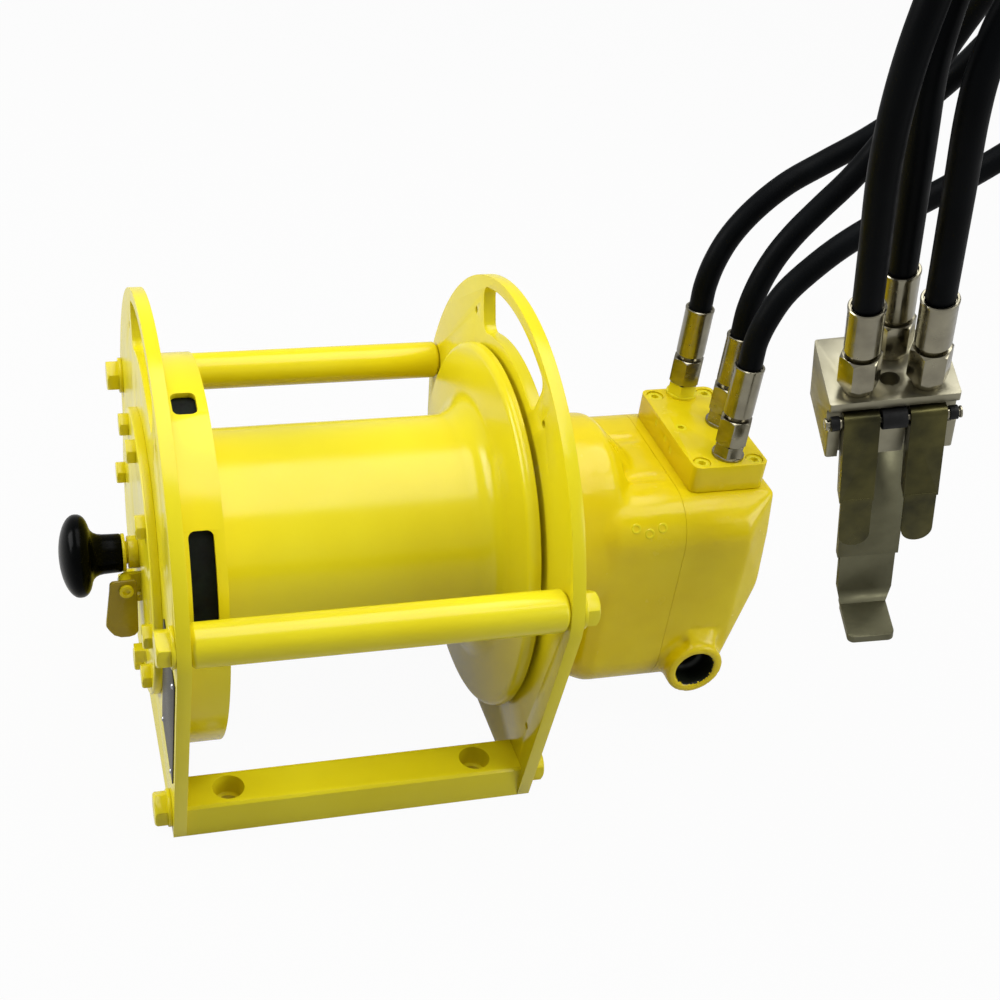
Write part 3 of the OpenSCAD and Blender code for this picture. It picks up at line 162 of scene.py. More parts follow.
PENDANT_PLACE = Vector((332.6, -190.5, 387.8)) * MM
PENDANT_TURN = Euler([math.radians(a) for a in (14.0, -12.8, -16.3)], "XYZ")
PENDANT = Matrix.Translation(PENDANT_PLACE) @ PENDANT_TURN.to_matrix().to_4x4()
PENDANT_FERRULE_TOP = 0.096
HOSE_DIAMETER = 0.019

# Points that each hose follows from the manifold up, in metres
HOSE_ROUTES: dict[str, list[Point]] = {
    "hose_a": [
        (0.316, 0.053, 0.325), (0.316, 0.053, 0.345), (0.320, 0.053, 0.367),
        (0.329, 0.053, 0.389), (0.345, 0.053, 0.411), (0.367, 0.053, 0.431),
        (0.394, 0.052, 0.448), (0.424, 0.046, 0.470), (0.450, 0.034, 0.500),
        (0.468, 0.016, 0.538), (0.476, -0.008, 0.582), (0.472, -0.038, 0.628),
        (0.457, -0.074, 0.673), (0.431, -0.112, 0.712), (0.396, -0.150, 0.742),
        (0.354, -0.184, 0.757), (0.313, -0.211, 0.753), (0.277, -0.232, 0.731),
        (0.253, -0.244, 0.696), (0.244, -0.247, 0.652), (0.246, -0.242, 0.608),
    ],
    "hose_b": [
        (0.332, 0.005, 0.325), (0.332, 0.005, 0.347), (0.336, 0.005, 0.370),
        (0.344, 0.005, 0.392), (0.356, 0.005, 0.412), (0.372, 0.005, 0.432),
        (0.391, 0.004, 0.456), (0.408, 0.002, 0.486), (0.420, -0.003, 0.522),
        (0.427, -0.014, 0.564), (0.429, -0.034, 0.604), (0.424, -0.062, 0.641),
        (0.412, -0.092, 0.672), (0.395, -0.122, 0.696), (0.374, -0.149, 0.713),
        (0.350, -0.172, 0.722), (0.327, -0.188, 0.721), (0.306, -0.201, 0.712),
        (0.288, -0.212, 0.694), (0.277, -0.219, 0.669), (0.273, -0.222, 0.642),
    ],
    "hose_c": [
        (0.317, -0.043, 0.325), (0.317, -0.043, 0.346), (0.321, -0.044, 0.366),
        (0.330, -0.044, 0.386), (0.345, -0.045, 0.405), (0.366, -0.045, 0.424),
        (0.393, -0.045, 0.442), (0.428, -0.045, 0.461), (0.465, -0.046, 0.484),
        (0.497, -0.050, 0.510), (0.521, -0.062, 0.542), (0.533, -0.084, 0.578),
        (0.531, -0.112, 0.617), (0.516, -0.142, 0.651), (0.490, -0.170, 0.677),
        (0.457, -0.192, 0.695), (0.420, -0.208, 0.706), (0.384, -0.220, 0.710),
        (0.350, -0.230, 0.707), (0.322, -0.239, 0.697), (0.301, -0.247, 0.680),
        (0.288, -0.252, 0.656), (0.284, -0.254, 0.629),
    ],
}
# Place of each hose's lower end on the pendant, and heights of its last points above it
HOSE_ENDS: dict[str, tuple[tuple[float, float], Sequence[float]]] = {
    "hose_a": ((-0.022, -0.0175), (0.195, 0.145, PENDANT_FERRULE_TOP)),
    "hose_b": ((0.005, 0.013), (0.235, 0.190, 0.140, PENDANT_FERRULE_TOP)),
    "hose_c": ((0.022, -0.0175), (0.225, 0.185, 0.140, PENDANT_FERRULE_TOP)),
}


# ---- finishes ---------------------------------------------------------------


def linear(code: str) -> tuple[float, float, float, float]:
    """Turns an sRGB hex colour into Blender's linear colour.

    Args:
        code: Six hex digits.

    Returns:
        Linear red, green and blue, and an alpha of one.
    """
    shares = [int(code[i:i + 2], 16) / 255 for i in (0, 2, 4)]
    red, green, blue = [
        c / 12.92 if c <= 0.04045 else ((c + 0.055) / 1.055) ** 2.4 for c in shares
    ]
    return red, green, blue, 1.0


def add_node(
    tree: bpy.types.NodeTree, kind: str, inputs: dict | None = None, **settings: object
) -> bpy.types.Node:
    """Adds a node with its settings, socket values and links.

    Args:
        tree: Node tree that gets the node.
        kind: Blender's name of the node type.
        inputs: Socket name or number to a value, or to the socket linked into it.
        **settings: Properties of the node.

    Returns:
        The new node.
    """
    made = tree.nodes.new(kind)
    for name, value in settings.items():
        setattr(made, name, value)
    for name, value in (inputs or {}).items():
        if isinstance(value, bpy.types.NodeSocket):
            tree.links.new(value, made.inputs[name])
        else:
            made.inputs[name].default_value = value
    return made


def object_noise(
    tree: bpy.types.NodeTree, grain_mm: float, detail: float = 3.0,
    stretch: Point = (1.0, 1.0, 1.0),
) -> bpy.types.NodeSocket:
    """Noise in the piece's own coordinates.

    Args:
        tree: Node tree that gets the nodes.
        grain_mm: Size of one grain in millimetres.
        detail: Octaves of finer noise.
        stretch: Scale along each axis, below one for long grains.

    Returns:
        Socket with a value about one half.
    """
    place = add_node(tree, "ShaderNodeTexCoord").outputs["Object"]
    mapped = add_node(
        tree, "ShaderNodeMapping", {"Vector": place, "Scale": stretch}
    ).outputs["Vector"]
    return add_node(
        tree, "ShaderNodeTexNoise",
        {"Vector": mapped, "Scale": 1.0 / (grain_mm * MM), "Detail": detail},
    ).outputs["Fac"]


def spread(
    tree: bpy.types.NodeTree, value: bpy.types.NodeSocket, low: float, high: float,
    start: float = 0.3, stop: float = 0.7,
) -> bpy.types.NodeSocket:
    """Maps a noise value to a range.

    Args:
        tree: Node tree that gets the node.
        value: Socket to map.
        low: Result at the start value.
        high: Result at the stop value.
        start: Noise value that gives the low result.
        stop: Noise value that gives the high result.

    Returns:
        Socket with the mapped value.
    """
    return add_node(
        tree, "ShaderNodeMapRange",
        {"Value": value, "From Min": start, "From Max": stop, "To Min": low, "To Max": high},
    ).outputs["Result"]


def blend_colours(
    tree: bpy.types.NodeTree, share: bpy.types.NodeSocket, first: str, second: str
) -> bpy.types.NodeSocket:
    """Mixes two hex colours by a noise value.

    Args:
        tree: Node tree that gets the node.
        share: Socket with the share of the second colour.
        first: Hex colour where the share is nought.
        second: Hex colour where the share is one.

    Returns:
        Colour socket.
    """
    mix = add_node(tree, "ShaderNodeMix", data_type="RGBA")
    tree.links.new(share, mix.inputs["Factor"])
    mix.inputs[6].default_value = linear(first)
    mix.inputs[7].default_value = linear(second)
    return mix.outputs[2]


@dataclass(frozen=True)
class Finish:
    """A surface finish with mottled colour, uneven gloss and a fine relief."""

    name: str
    colour: str
    tint: str
    mottle_mm: float
    roughness: tuple[float, float]
    grain_mm: float
    relief_mm: float
    metallic: float = 0.0
    specular: float = 0.5
    stretch: Point = (1.0, 1.0, 1.0)
    detail: float = 3.0

    def build(self) -> bpy.types.Material:
        """Makes the node material, or returns the one made before.

        Returns:
            The material.
        """
        known = bpy.data.materials.get(self.name)
        if known:
            return known
        material = bpy.data.materials.new(self.name)
        material.use_nodes = True
        tree = material.node_tree
        shader = tree.nodes["Principled BSDF"]
        mottle = object_noise(tree, self.mottle_mm)
        shares = spread(tree, mottle, 0.0, 1.0)
        tree.links.new(
            blend_colours(tree, shares, self.colour, self.tint), shader.inputs["Base Color"]
        )
        rough = object_noise(tree, self.mottle_mm / GLOSS_DETAIL, stretch=self.stretch)
        tree.links.new(spread(tree, rough, *self.roughness), shader.inputs["Roughness"])
        grain = object_noise(tree, self.grain_mm, self.detail, self.stretch)
        bump = add_node(
            tree, "ShaderNodeBump",
            {"Height": grain, "Distance": self.relief_mm * MM, "Strength": 1.0},
        )
        tree.links.new(bump.outputs["Normal"], shader.inputs["Normal"])
        shader.inputs["Metallic"].default_value = self.metallic
        if not self.metallic:
            shader.inputs["IOR"].default_value = COATING_IOR
            shader.inputs["Specular IOR Level"].default_value = self.specular
        return material


# Two-pack enamel sprayed on steel: deep yellow, wet gloss, faint orange peel
ENAMEL = Finish(
    "sprayed_enamel", "EADD22", "E2D114", 140, (0.16, 0.26), 5.0, 0.045, specular=0.3,
)
# The same enamel over a sand casting: the skin of the casting shows as soft waves
CAST_ENAMEL = Finish(
    "enamel_on_casting", "EBD512", "E2C908", 60, (0.15, 0.28), 16.0, 0.5, detail=2.0,
    specular=0.3,
)
# The same enamel darkened to a dull olive yellow: painted shade on the latch flap
SHADED_LATCH_ENAMEL = Finish(
    "enamel_with_painted_shade_on_latch", "AD9A1E", "9F8C12", 40, (0.2, 0.32), 4.0, 0.045, specular=0.3,
)
# Compression-moulded phenolic: black with a polished moulding skin
PHENOLIC = Finish(
    "moulded_phenolic", "020303", "040505", 30, (0.18, 0.26), 3.0, 0.02, specular=0.04
)
# Extruded synthetic rubber hose cover: black, satin, with a faint wrapped grain
HOSE_RUBBER = Finish(
    "extruded_hose_rubber", "050607", "090B0D", 40, (0.38, 0.54), 1.6, 0.08, specular=0.04
)
# Moulded rubber of the bush: dull black
BUSH_RUBBER = Finish(
    "moulded_rubber", "0C0C0C", "131313", 15, (0.5, 0.65), 1.2, 0.05, specular=0.2
)
# Nickel plate on turned steel fittings: warm bright metal with fine turning marks
NICKEL = Finish(
    "nickel_plated_steel", "98937F", "7E7969", 18, (0.14, 0.28), 0.9, 0.012, metallic=1.0
)
# Milled aluminium with a chemical nickel coat: satin, slightly warm
SATIN_NICKEL = Finish(
    "satin_nickel_aluminium", "96927F", "86826D", 30, (0.3, 0.45), 1.0, 0.02, metallic=1.0,
    stretch=(1.0, 0.2, 1.0),
)
# Yellow zinc passivation on pressed sheet: olive gold with patches of green and brown
PASSIVATED = Finish(
    "yellow_passivated_sheet", "565230", "302F20", 26, (0.26, 0.4), 1.4, 0.02, metallic=0.95
)
# Dull zinc plate on the folded grip: grey with an olive cast
DULL_ZINC = Finish(
    "dull_zinc_sheet", "6C6A53", "5C5A45", 30, (0.42, 0.55), 1.2, 0.02, metallic=0.85
)
# Ground and oiled machine steel inside the drive
MACHINED = Finish(
    "machined_steel", "A9AAAD", "8F9094", 20, (0.22, 0.38), 0.8, 0.015, metallic=1.0,
    stretch=(0.2, 1.0, 1.0),
)
# Black oxide on screws: dark, oily sheen
BLACK_OXIDE = Finish(
    "black_oxide_steel", "1D1D1F", "2B2B2D", 8, (0.3, 0.45), 0.8, 0.012, metallic=0.8
)
# Grey cast iron of the motor cylinder, machined but open-grained
CAST_IRON = Finish(
    "grey_cast_iron", "5C5D5F", "4A4B4D", 12, (0.4, 0.55), 0.9, 0.03, metallic=0.8
)
# Woven friction lining: near black with dark green and rust fibre flecks
LINING = Finish(
    "woven_brake_lining", "060906", "1E2010", 3, (0.7, 0.85), 1.2, 0.15, specular=0.15
)
# Hot rolled strap with its mill scale: blue-black, dull, with greenish patches
MILL_SCALE = Finish(
    "mill_scale_steel", "030403", "0A120B", 9, (0.5, 0.7), 1.5, 0.05, specular=0.12
)
# Inside of the air port: unpainted iron, made near black as painted shade of the deep bore
SHADED_PORT_BORE = Finish(
    "port_bore_with_painted_shade", "10140E", "1C2017", 5, (0.35, 0.5), 1.8, 0.1, specular=0.3
)
# Anodised aluminium tag: near black, satin, with fine pale specks of wear
TAG = Finish(
    "anodised_aluminium_tag", "1C1B19", "3A3833", 2.5, (0.34, 0.5), 0.9, 0.02, metallic=0.6,
)
# Laminated vane material: brown cloth and resin
VANE = Finish("laminated_vane", "5A3A22", "4A2E1A", 6, (0.45, 0.6), 1.0, 0.03)


# ---- modelling --------------------------------------------------------------


def deselect() -> None:
    """Leaves edit mode and deselects every object."""
    active = bpy.context.view_layer.objects.active
    if active and active.mode != "OBJECT":
        bpy.ops.object.mode_set(mode="OBJECT")
    bpy.ops.object.select_all(action="DESELECT")


def activate(piece: bpy.types.Object) -> None:
    """Selects one object alone and makes it active.

    Args:
        piece: Object to select.
    """
    deselect()
    piece.select_set(True)
    bpy.context.view_layer.objects.active = piece


def edit_all(piece: bpy.types.Object) -> None:
    """Enters edit mode on a piece with all of it selected.

    Args:
        piece: Mesh object to edit.
    """
    activate(piece)
    bpy.ops.object.mode_set(mode="EDIT")
    bpy.ops.mesh.select_all(action="SELECT")


def unselect_mesh(piece: bpy.types.Object) -> None:
    """Deselects all of a piece's mesh and leaves it in object mode.

    Args:
        piece: Mesh object.
    """
    edit_all(piece)
    bpy.ops.mesh.select_all(action="DESELECT")
    bpy.ops.object.mode_set(mode="OBJECT")


def apply_modifier(piece: bpy.types.Object, kind: str, **settings: object) -> None:
    """Adds a modifier, sets it and applies it.

    Args:
        piece: Mesh object.
        kind: Blender's name of the modifier type.
        **settings: Properties of the modifier.
    """
    activate(piece)
    modifier = piece.modifiers.new(kind.lower(), kind)
    for name, value in settings.items():
        setattr(modifier, name, value)
    bpy.ops.object.modifier_apply(modifier=modifier.name)


def round_edges(piece: bpy.types.Object, width_mm: float, segments: int = 3) -> None:
    """Rounds the sharp edges of a piece.

    Args:
        piece: Mesh object.
        width_mm: Width of the rounding.
        segments: Faces across the rounding.
    """
    apply_modifier(
        piece, "BEVEL", width=width_mm * MM, segments=segments, limit_method="ANGLE",
        angle_limit=math.radians(EDGE_ANGLE), use_clamp_overlap=True, miter_outer="MITER_ARC",
    )


def shade(piece: bpy.types.Object, angle: float) -> None:
    """Shades a piece smooth except over sharp edges.

    Args:
        piece: Mesh object.
        angle: Greatest angle between faces, in degrees, that is shaded smooth.
    """
    activate(piece)
    bpy.ops.object.shade_smooth_by_angle(angle=math.radians(angle))


def settle(piece: bpy.types.Object) -> None:
    """Applies a piece's place, turn and scale to its mesh.

    Args:
        piece: Mesh object.
    """
    activate(piece)
    bpy.ops.object.transform_apply(location=True, rotation=True, scale=True)


def dress(piece: bpy.types.Object, finish: Finish) -> None:
    """Gives a piece one finish all over.

    Args:
        piece: Mesh object.
        finish: Finish of its surface.
    """
    piece.data.materials.clear()
    piece.data.materials.append(finish.build())


def finish_piece(
    piece: bpy.types.Object, name: str, finish: Finish, body: Body,
    replaces: Sequence[str] = (), angle: float = SMOOTH_ANGLE,
) -> bpy.types.Object:
    """Names, shades and dresses a piece, and puts it on its body.

    Args:
        piece: Mesh object.
        name: Name of the piece.
        finish: Finish of its surface.
        body: Body of the frame that it rides on.
        replaces: CAD nodes that it stands for.
        angle: Greatest angle between faces that is shaded smooth.

    Returns:
        The finished piece.
    """
    piece.name = name
    settle(piece)
    shade(piece, angle)
    dress(piece, finish)
    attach(piece, body.value)
    if replaces:
        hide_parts(*replaces)
    LOG.info("piece %s: %d faces", name, len(piece.data.polygons))
    return piece


def join(pieces: Sequence[bpy.types.Object]) -> bpy.types.Object:
    """Makes one object of several.

    Args:
        pieces: Mesh objects.

    Returns:
        The first of them, with the others' meshes in it.
    """
    activate(pieces[0])
    for piece in pieces:
        piece.select_set(True)
    bpy.ops.object.join()
    return pieces[0]


def draw_line(points: Sequence[Point]) -> bpy.types.Object:
    """Draws edges from point to point.

    Args:
        points: Places in millimetres, in order.

    Returns:
        The line of edges, in edit mode with all of it selected.
    """
    deselect()
    bpy.ops.mesh.primitive_plane_add(size=MM)
    line = bpy.context.object
    bpy.ops.object.mode_set(mode="EDIT")
    bpy.ops.mesh.select_all(action="SELECT")
    bpy.ops.mesh.merge(type="CENTER")
    bpy.ops.transform.translate(value=tuple(c * MM for c in points[0]))
    for last, place in zip(points, points[1:]):
        step = tuple((b - a) * MM for a, b in zip(last, place))
        bpy.ops.mesh.extrude_region_move(TRANSFORM_OT_translate={"value": step})
    bpy.ops.mesh.select_all(action="SELECT")
    return line


def lathe(profile: Profile, steps: int) -> bpy.types.Object:
    """Spins a closed profile round the X axis through the origin.

    Args:
        profile: Points as position along X and radius, in millimetres.
        steps: Number of steps round the axis.

    Returns:
        The turned solid.
    """
    piece = draw_line([(x, 0.0, r) for x, r in (*profile, profile[0])])
    bpy.ops.mesh.remove_doubles(threshold=LINE_WELD * MM)
    bpy.ops.mesh.select_all(action="SELECT")
    bpy.ops.mesh.spin(steps=steps, angle=2 * math.pi, center=(0, 0, 0), axis=(1, 0, 0))
    bpy.ops.mesh.select_all(action="SELECT")
    bpy.ops.mesh.remove_doubles(threshold=LINE_WELD * MM)
    bpy.ops.mesh.normals_make_consistent(inside=False)
    bpy.ops.object.mode_set(mode="OBJECT")
    return piece


def arc(
    centre: tuple[float, float], radius: float, start: float, stop: float, count: int
) -> list[tuple[float, float]]:
    """Points of an arc in a profile.

    Args:
        centre: Position and radius coordinate of the arc's centre.
        radius: Radius of the arc.
        start: First angle in degrees, from the X axis.
        stop: Last angle in degrees.
        count: Number of steps.

    Returns:
        The points from start to stop.
    """
    angles = [math.radians(start + (stop - start) * i / count) for i in range(count + 1)]
    return [
        (centre[0] + radius * math.cos(a), centre[1] + radius * math.sin(a)) for a in angles
    ]


def sheet(outline: Profile, low_y: float, high_y: float) -> bpy.types.Object:
    """A flat plate with an outline in the XZ plane.

    Args:
        outline: Corners as X and Z in millimetres, in order.
        low_y: Front of the plate.
        high_y: Back of the plate.

    Returns:
        The plate.
    """
    piece = draw_line([(x, low_y, z) for x, z in outline])
    bpy.ops.mesh.edge_face_add()
    bpy.ops.mesh.extrude_region_move(
        TRANSFORM_OT_translate={"value": (0, (high_y - low_y) * MM, 0)}
    )
    bpy.ops.mesh.select_all(action="SELECT")
    bpy.ops.mesh.normals_make_consistent(inside=False)
    bpy.ops.object.mode_set(mode="OBJECT")
    return piece


class Frame:
    """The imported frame: its CAD nodes and what is made from copies of them."""

    def __init__(self) -> None:
        """Loads the frame and keeps its box."""
        self.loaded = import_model()
        self.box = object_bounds()

    def body_of(self, node: str) -> Body:
        """Body that a node belongs to."""
        return Body(self.loaded["nodes"][node]["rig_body"])

    def copy(self, node: str, flat: bool = True) -> bpy.types.Object:
        """A merged copy of a CAD node's mesh.

        Args:
            node: Name of the node.
            flat: Whether flat areas become single faces.

        Returns:
            The copy, on no body yet.
        """
        activate(self.loaded["nodes"][node])
        bpy.ops.object.duplicate()
        piece = bpy.context.object
        piece.parent = None
        for key in [k for k in piece.keys() if k.startswith("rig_")]:
            del piece[key]
        edit_all(piece)
        bpy.ops.mesh.remove_doubles(threshold=COPY_WELD * MM)
        if flat:
            bpy.ops.mesh.dissolve_limited(angle_limit=math.radians(FLAT_ANGLE))
        bpy.ops.object.mode_set(mode="OBJECT")
        return piece

    def soften(
        self, node: str, finish: Finish, width_mm: float, segments: int = 3
    ) -> bpy.types.Object:
        """A copy of a CAD node with rounded edges and its finish.

        Args:
            node: Name of the node.
            finish: Finish of the piece.
            width_mm: Width of the edge rounding.
            segments: Faces across the rounding.

        Returns:
            The piece that stands for the node.
        """
        piece = self.copy(node)
        round_edges(piece, width_mm, segments)
        return finish_piece(piece, f"{node}_finished", finish, self.body_of(node), [node])

    def paint(self, node: str, finish: Finish) -> None:
        """Gives a CAD node its finish.

        Args:
            node: Name of the node.
            finish: Finish of its surface.
        """
        dress(self.loaded["nodes"][node], finish)
        LOG.info("node %s: %s", node, finish.name)


def on_axis(piece: bpy.types.Object) -> bpy.types.Object:
    """Lifts a turned piece from the origin to the drum axis.

    Args:
        piece: Mesh object.

    Returns:
        The same piece.
    """
    piece.location.z += AXIS_Z * MM
    settle(piece)
    return piece


@dataclass
class SideFrame:
    """Side plates, bars, bolts and washers."""

    plate_edge: float = 1.6
    bar_edge: float = 0.8
    bolt_edge: float = 0.5
    plates: Sequence[str] = ("brake_side_plate", "motor_side_plate")
    bars: Sequence[str] = ("tie_bar_front", "tie_bar_rear", "base_bar_front", "base_bar_rear")
    bolts: Sequence[str] = ("tie_bolts", "base_bolts", "frame_washers")

    def build(self, frame: Frame) -> None:
        """Builds the pieces.

        Args:
            frame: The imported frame.
        """
        for node in self.plates:
            frame.soften(node, ENAMEL, self.plate_edge)
        for node in self.bars:
            frame.soften(node, ENAMEL, self.bar_edge)
        for node in self.bolts:
            frame.soften(node, ENAMEL, self.bolt_edge, segments=2)


@dataclass
class Brake:
    """Guard ring, lining, strap, cover and cover bolts."""

    guard_edge: float = 1.0
    cover_edge: float = 0.8
    small_edge: float = 0.4
    tag_edge: float = 0.3

    def build(self, frame: Frame) -> None:
        """Builds the pieces.

        Args:
            frame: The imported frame.
        """
        frame.soften("brake_guard", ENAMEL, self.guard_edge)
        frame.soften("brake_cover", ENAMEL, self.cover_edge)
        frame.soften("cover_bolts", ENAMEL, self.small_edge, segments=2)
        frame.soften("brake_lining", LINING, self.small_edge, segments=1)
        frame.soften("brake_strap", MILL_SCALE, self.small_edge, segments=1)
        frame.soften("brake_anchor", MACHINED, self.small_edge, segments=1)
        frame.soften("data_plate", TAG, self.tag_edge, segments=2)
        frame.soften("data_plate_rivets", MACHINED, self.tag_edge, segments=2)


@dataclass
class Clutch:
    """Knob, stem, collar and latch."""

    bore_r: float = 9.0
    bore_x: float = -202.0
    neck_end: float = -164.4
    crown_x: float = -198.4
    crown_depth: float = 14.3
    crown_r: float = 32.7
    crown_steps: int = 12
    back: Profile = (
        (-195.8, 32.5), (-193.6, 31.6), (-191.6, 29.8), (-190.0, 27.2), (-188.9, 24.2),
        (-188.1, 21.4), (-187.0, 19.2), (-185.2, 17.5), (-182.6, 16.3), (-179.0, 15.7),
        (-172.0, 15.4), (-166.0, 15.3), (-165.0, 15.0), (-164.4, 14.3),
    )
    flap: Profile = (
        (-176.6, 152.0), (-174.5, 154.0), (-157.0, 154.5), (-155.6, 152.5), (-155.6, 103.0),
        (-158.5, 99.3), (-163.0, 98.0), (-169.5, 98.2), (-174.8, 100.8), (-178.2, 105.5),
        (-180.8, 110.5), (-180.4, 116.0), (-178.6, 132.0), (-177.0, 146.0),
    )
    flap_y: tuple[float, float] = (-30.0, -27.0)
    flap_edge: float = 1.0
    steps: int = 96
    knob_angle: float = 60.0
    small_edge: float = 0.6

    def build(self, frame: Frame) -> None:
        """Builds the pieces.

        Args:
            frame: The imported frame.
        """
        crown = [
            (self.crown_x - self.crown_depth * math.cos(a), self.crown_r * math.sin(a))
            for a in (
                math.radians(90 * i / self.crown_steps) for i in range(self.crown_steps + 1)
            )
        ]
        inner = [(self.neck_end, self.bore_r), (self.bore_x, self.bore_r), (self.bore_x, 0.0)]
        knob = on_axis(lathe([*inner, *crown, *self.back], self.steps))
        finish_piece(
            knob, "knob_moulding", PHENOLIC, Body.CLUTCH, ["clutch_knob"], self.knob_angle
        )
        for node in ("clutch_stem", "clutch_collar", "latch_bracket"):
            frame.soften(node, ENAMEL, self.small_edge, segments=2)
        frame.soften("latch_screw", ENAMEL, self.small_edge / 2, segments=2)
        flap = sheet(self.flap, *self.flap_y)
        round_edges(flap, self.flap_edge)
        # The flap takes the darkened enamel, which paints its shade into the colour
        finish_piece(flap, "latch_flap", SHADED_LATCH_ENAMEL, Body.LATCH, ["lock_latch"])


@dataclass
class Drum:
    """Rope drum with its brake rim and its dished flange."""

    steps: int = 160
    barrel_r: float = 93.0
    flange_r: float = 150.5
    rim_r: float = 140.0
    bore_r: float = 80.0
    fillet_x: float = 96.0
    fillet_r: float = 22.0
    rim_x: tuple[float, float] = (-130.0, -106.0)
    flange_x: float = 131.0
    journal: tuple[float, float, float] = (-143.0, 12.0, 22.0)
    web: tuple[float, float, float] = (-116.0, -104.0, 133.0)
    lean: float = 5.6
    lip_r: float = 6.0
    foot_r: float = 2.0
    edge: float = 1.0

    def outline(self) -> list[tuple[float, float]]:
        """Profile of the drum.

        Returns:
            Points as position along the axis and radius, in millimetres.
        """
        j_x, j_in, j_out = self.journal
        w0, w1, rim_in = self.web
        x0, x1 = self.rim_x
        lean = math.radians(self.lean)
        fillet_y = self.barrel_r + self.fillet_r
        fillet = arc((self.fillet_x, fillet_y), self.fillet_r, -90, -self.lean, count=14)
        foot_x, foot_y = fillet[-1]
        lip_y = self.flange_r - self.lip_r
        face_end_y = lip_y + self.lip_r * math.sin(lean)
        face_end_x = foot_x + (face_end_y - foot_y) * math.tan(lean)
        lip_x = face_end_x + self.lip_r * math.cos(lean)
        lip = arc((lip_x, lip_y), self.lip_r, 180 - self.lean, 90, count=8)
        foot_end = (x1 + self.foot_r, self.barrel_r + self.foot_r)
        end = self.flange_x
        return [
            (j_x, j_in), (j_x, j_out), (w0, j_out), (w0, rim_in), (x0, rim_in),
            (x0, self.rim_r), (x1, self.rim_r), (x1, self.barrel_r + self.foot_r),
            *arc(foot_end, self.foot_r, 180, 270, count=4),
            *fillet, *lip, (end - self.edge, self.flange_r), (end, self.flange_r - self.edge),
            (end, self.bore_r), (w1, self.bore_r), (w1, j_in),
        ]

    def build(self, frame: Frame) -> None:
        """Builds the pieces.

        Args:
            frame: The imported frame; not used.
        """
        drum = on_axis(lathe(self.outline(), self.steps))
        finish_piece(drum, "drum_turned", ENAMEL, Body.DRUM, ["drum"])


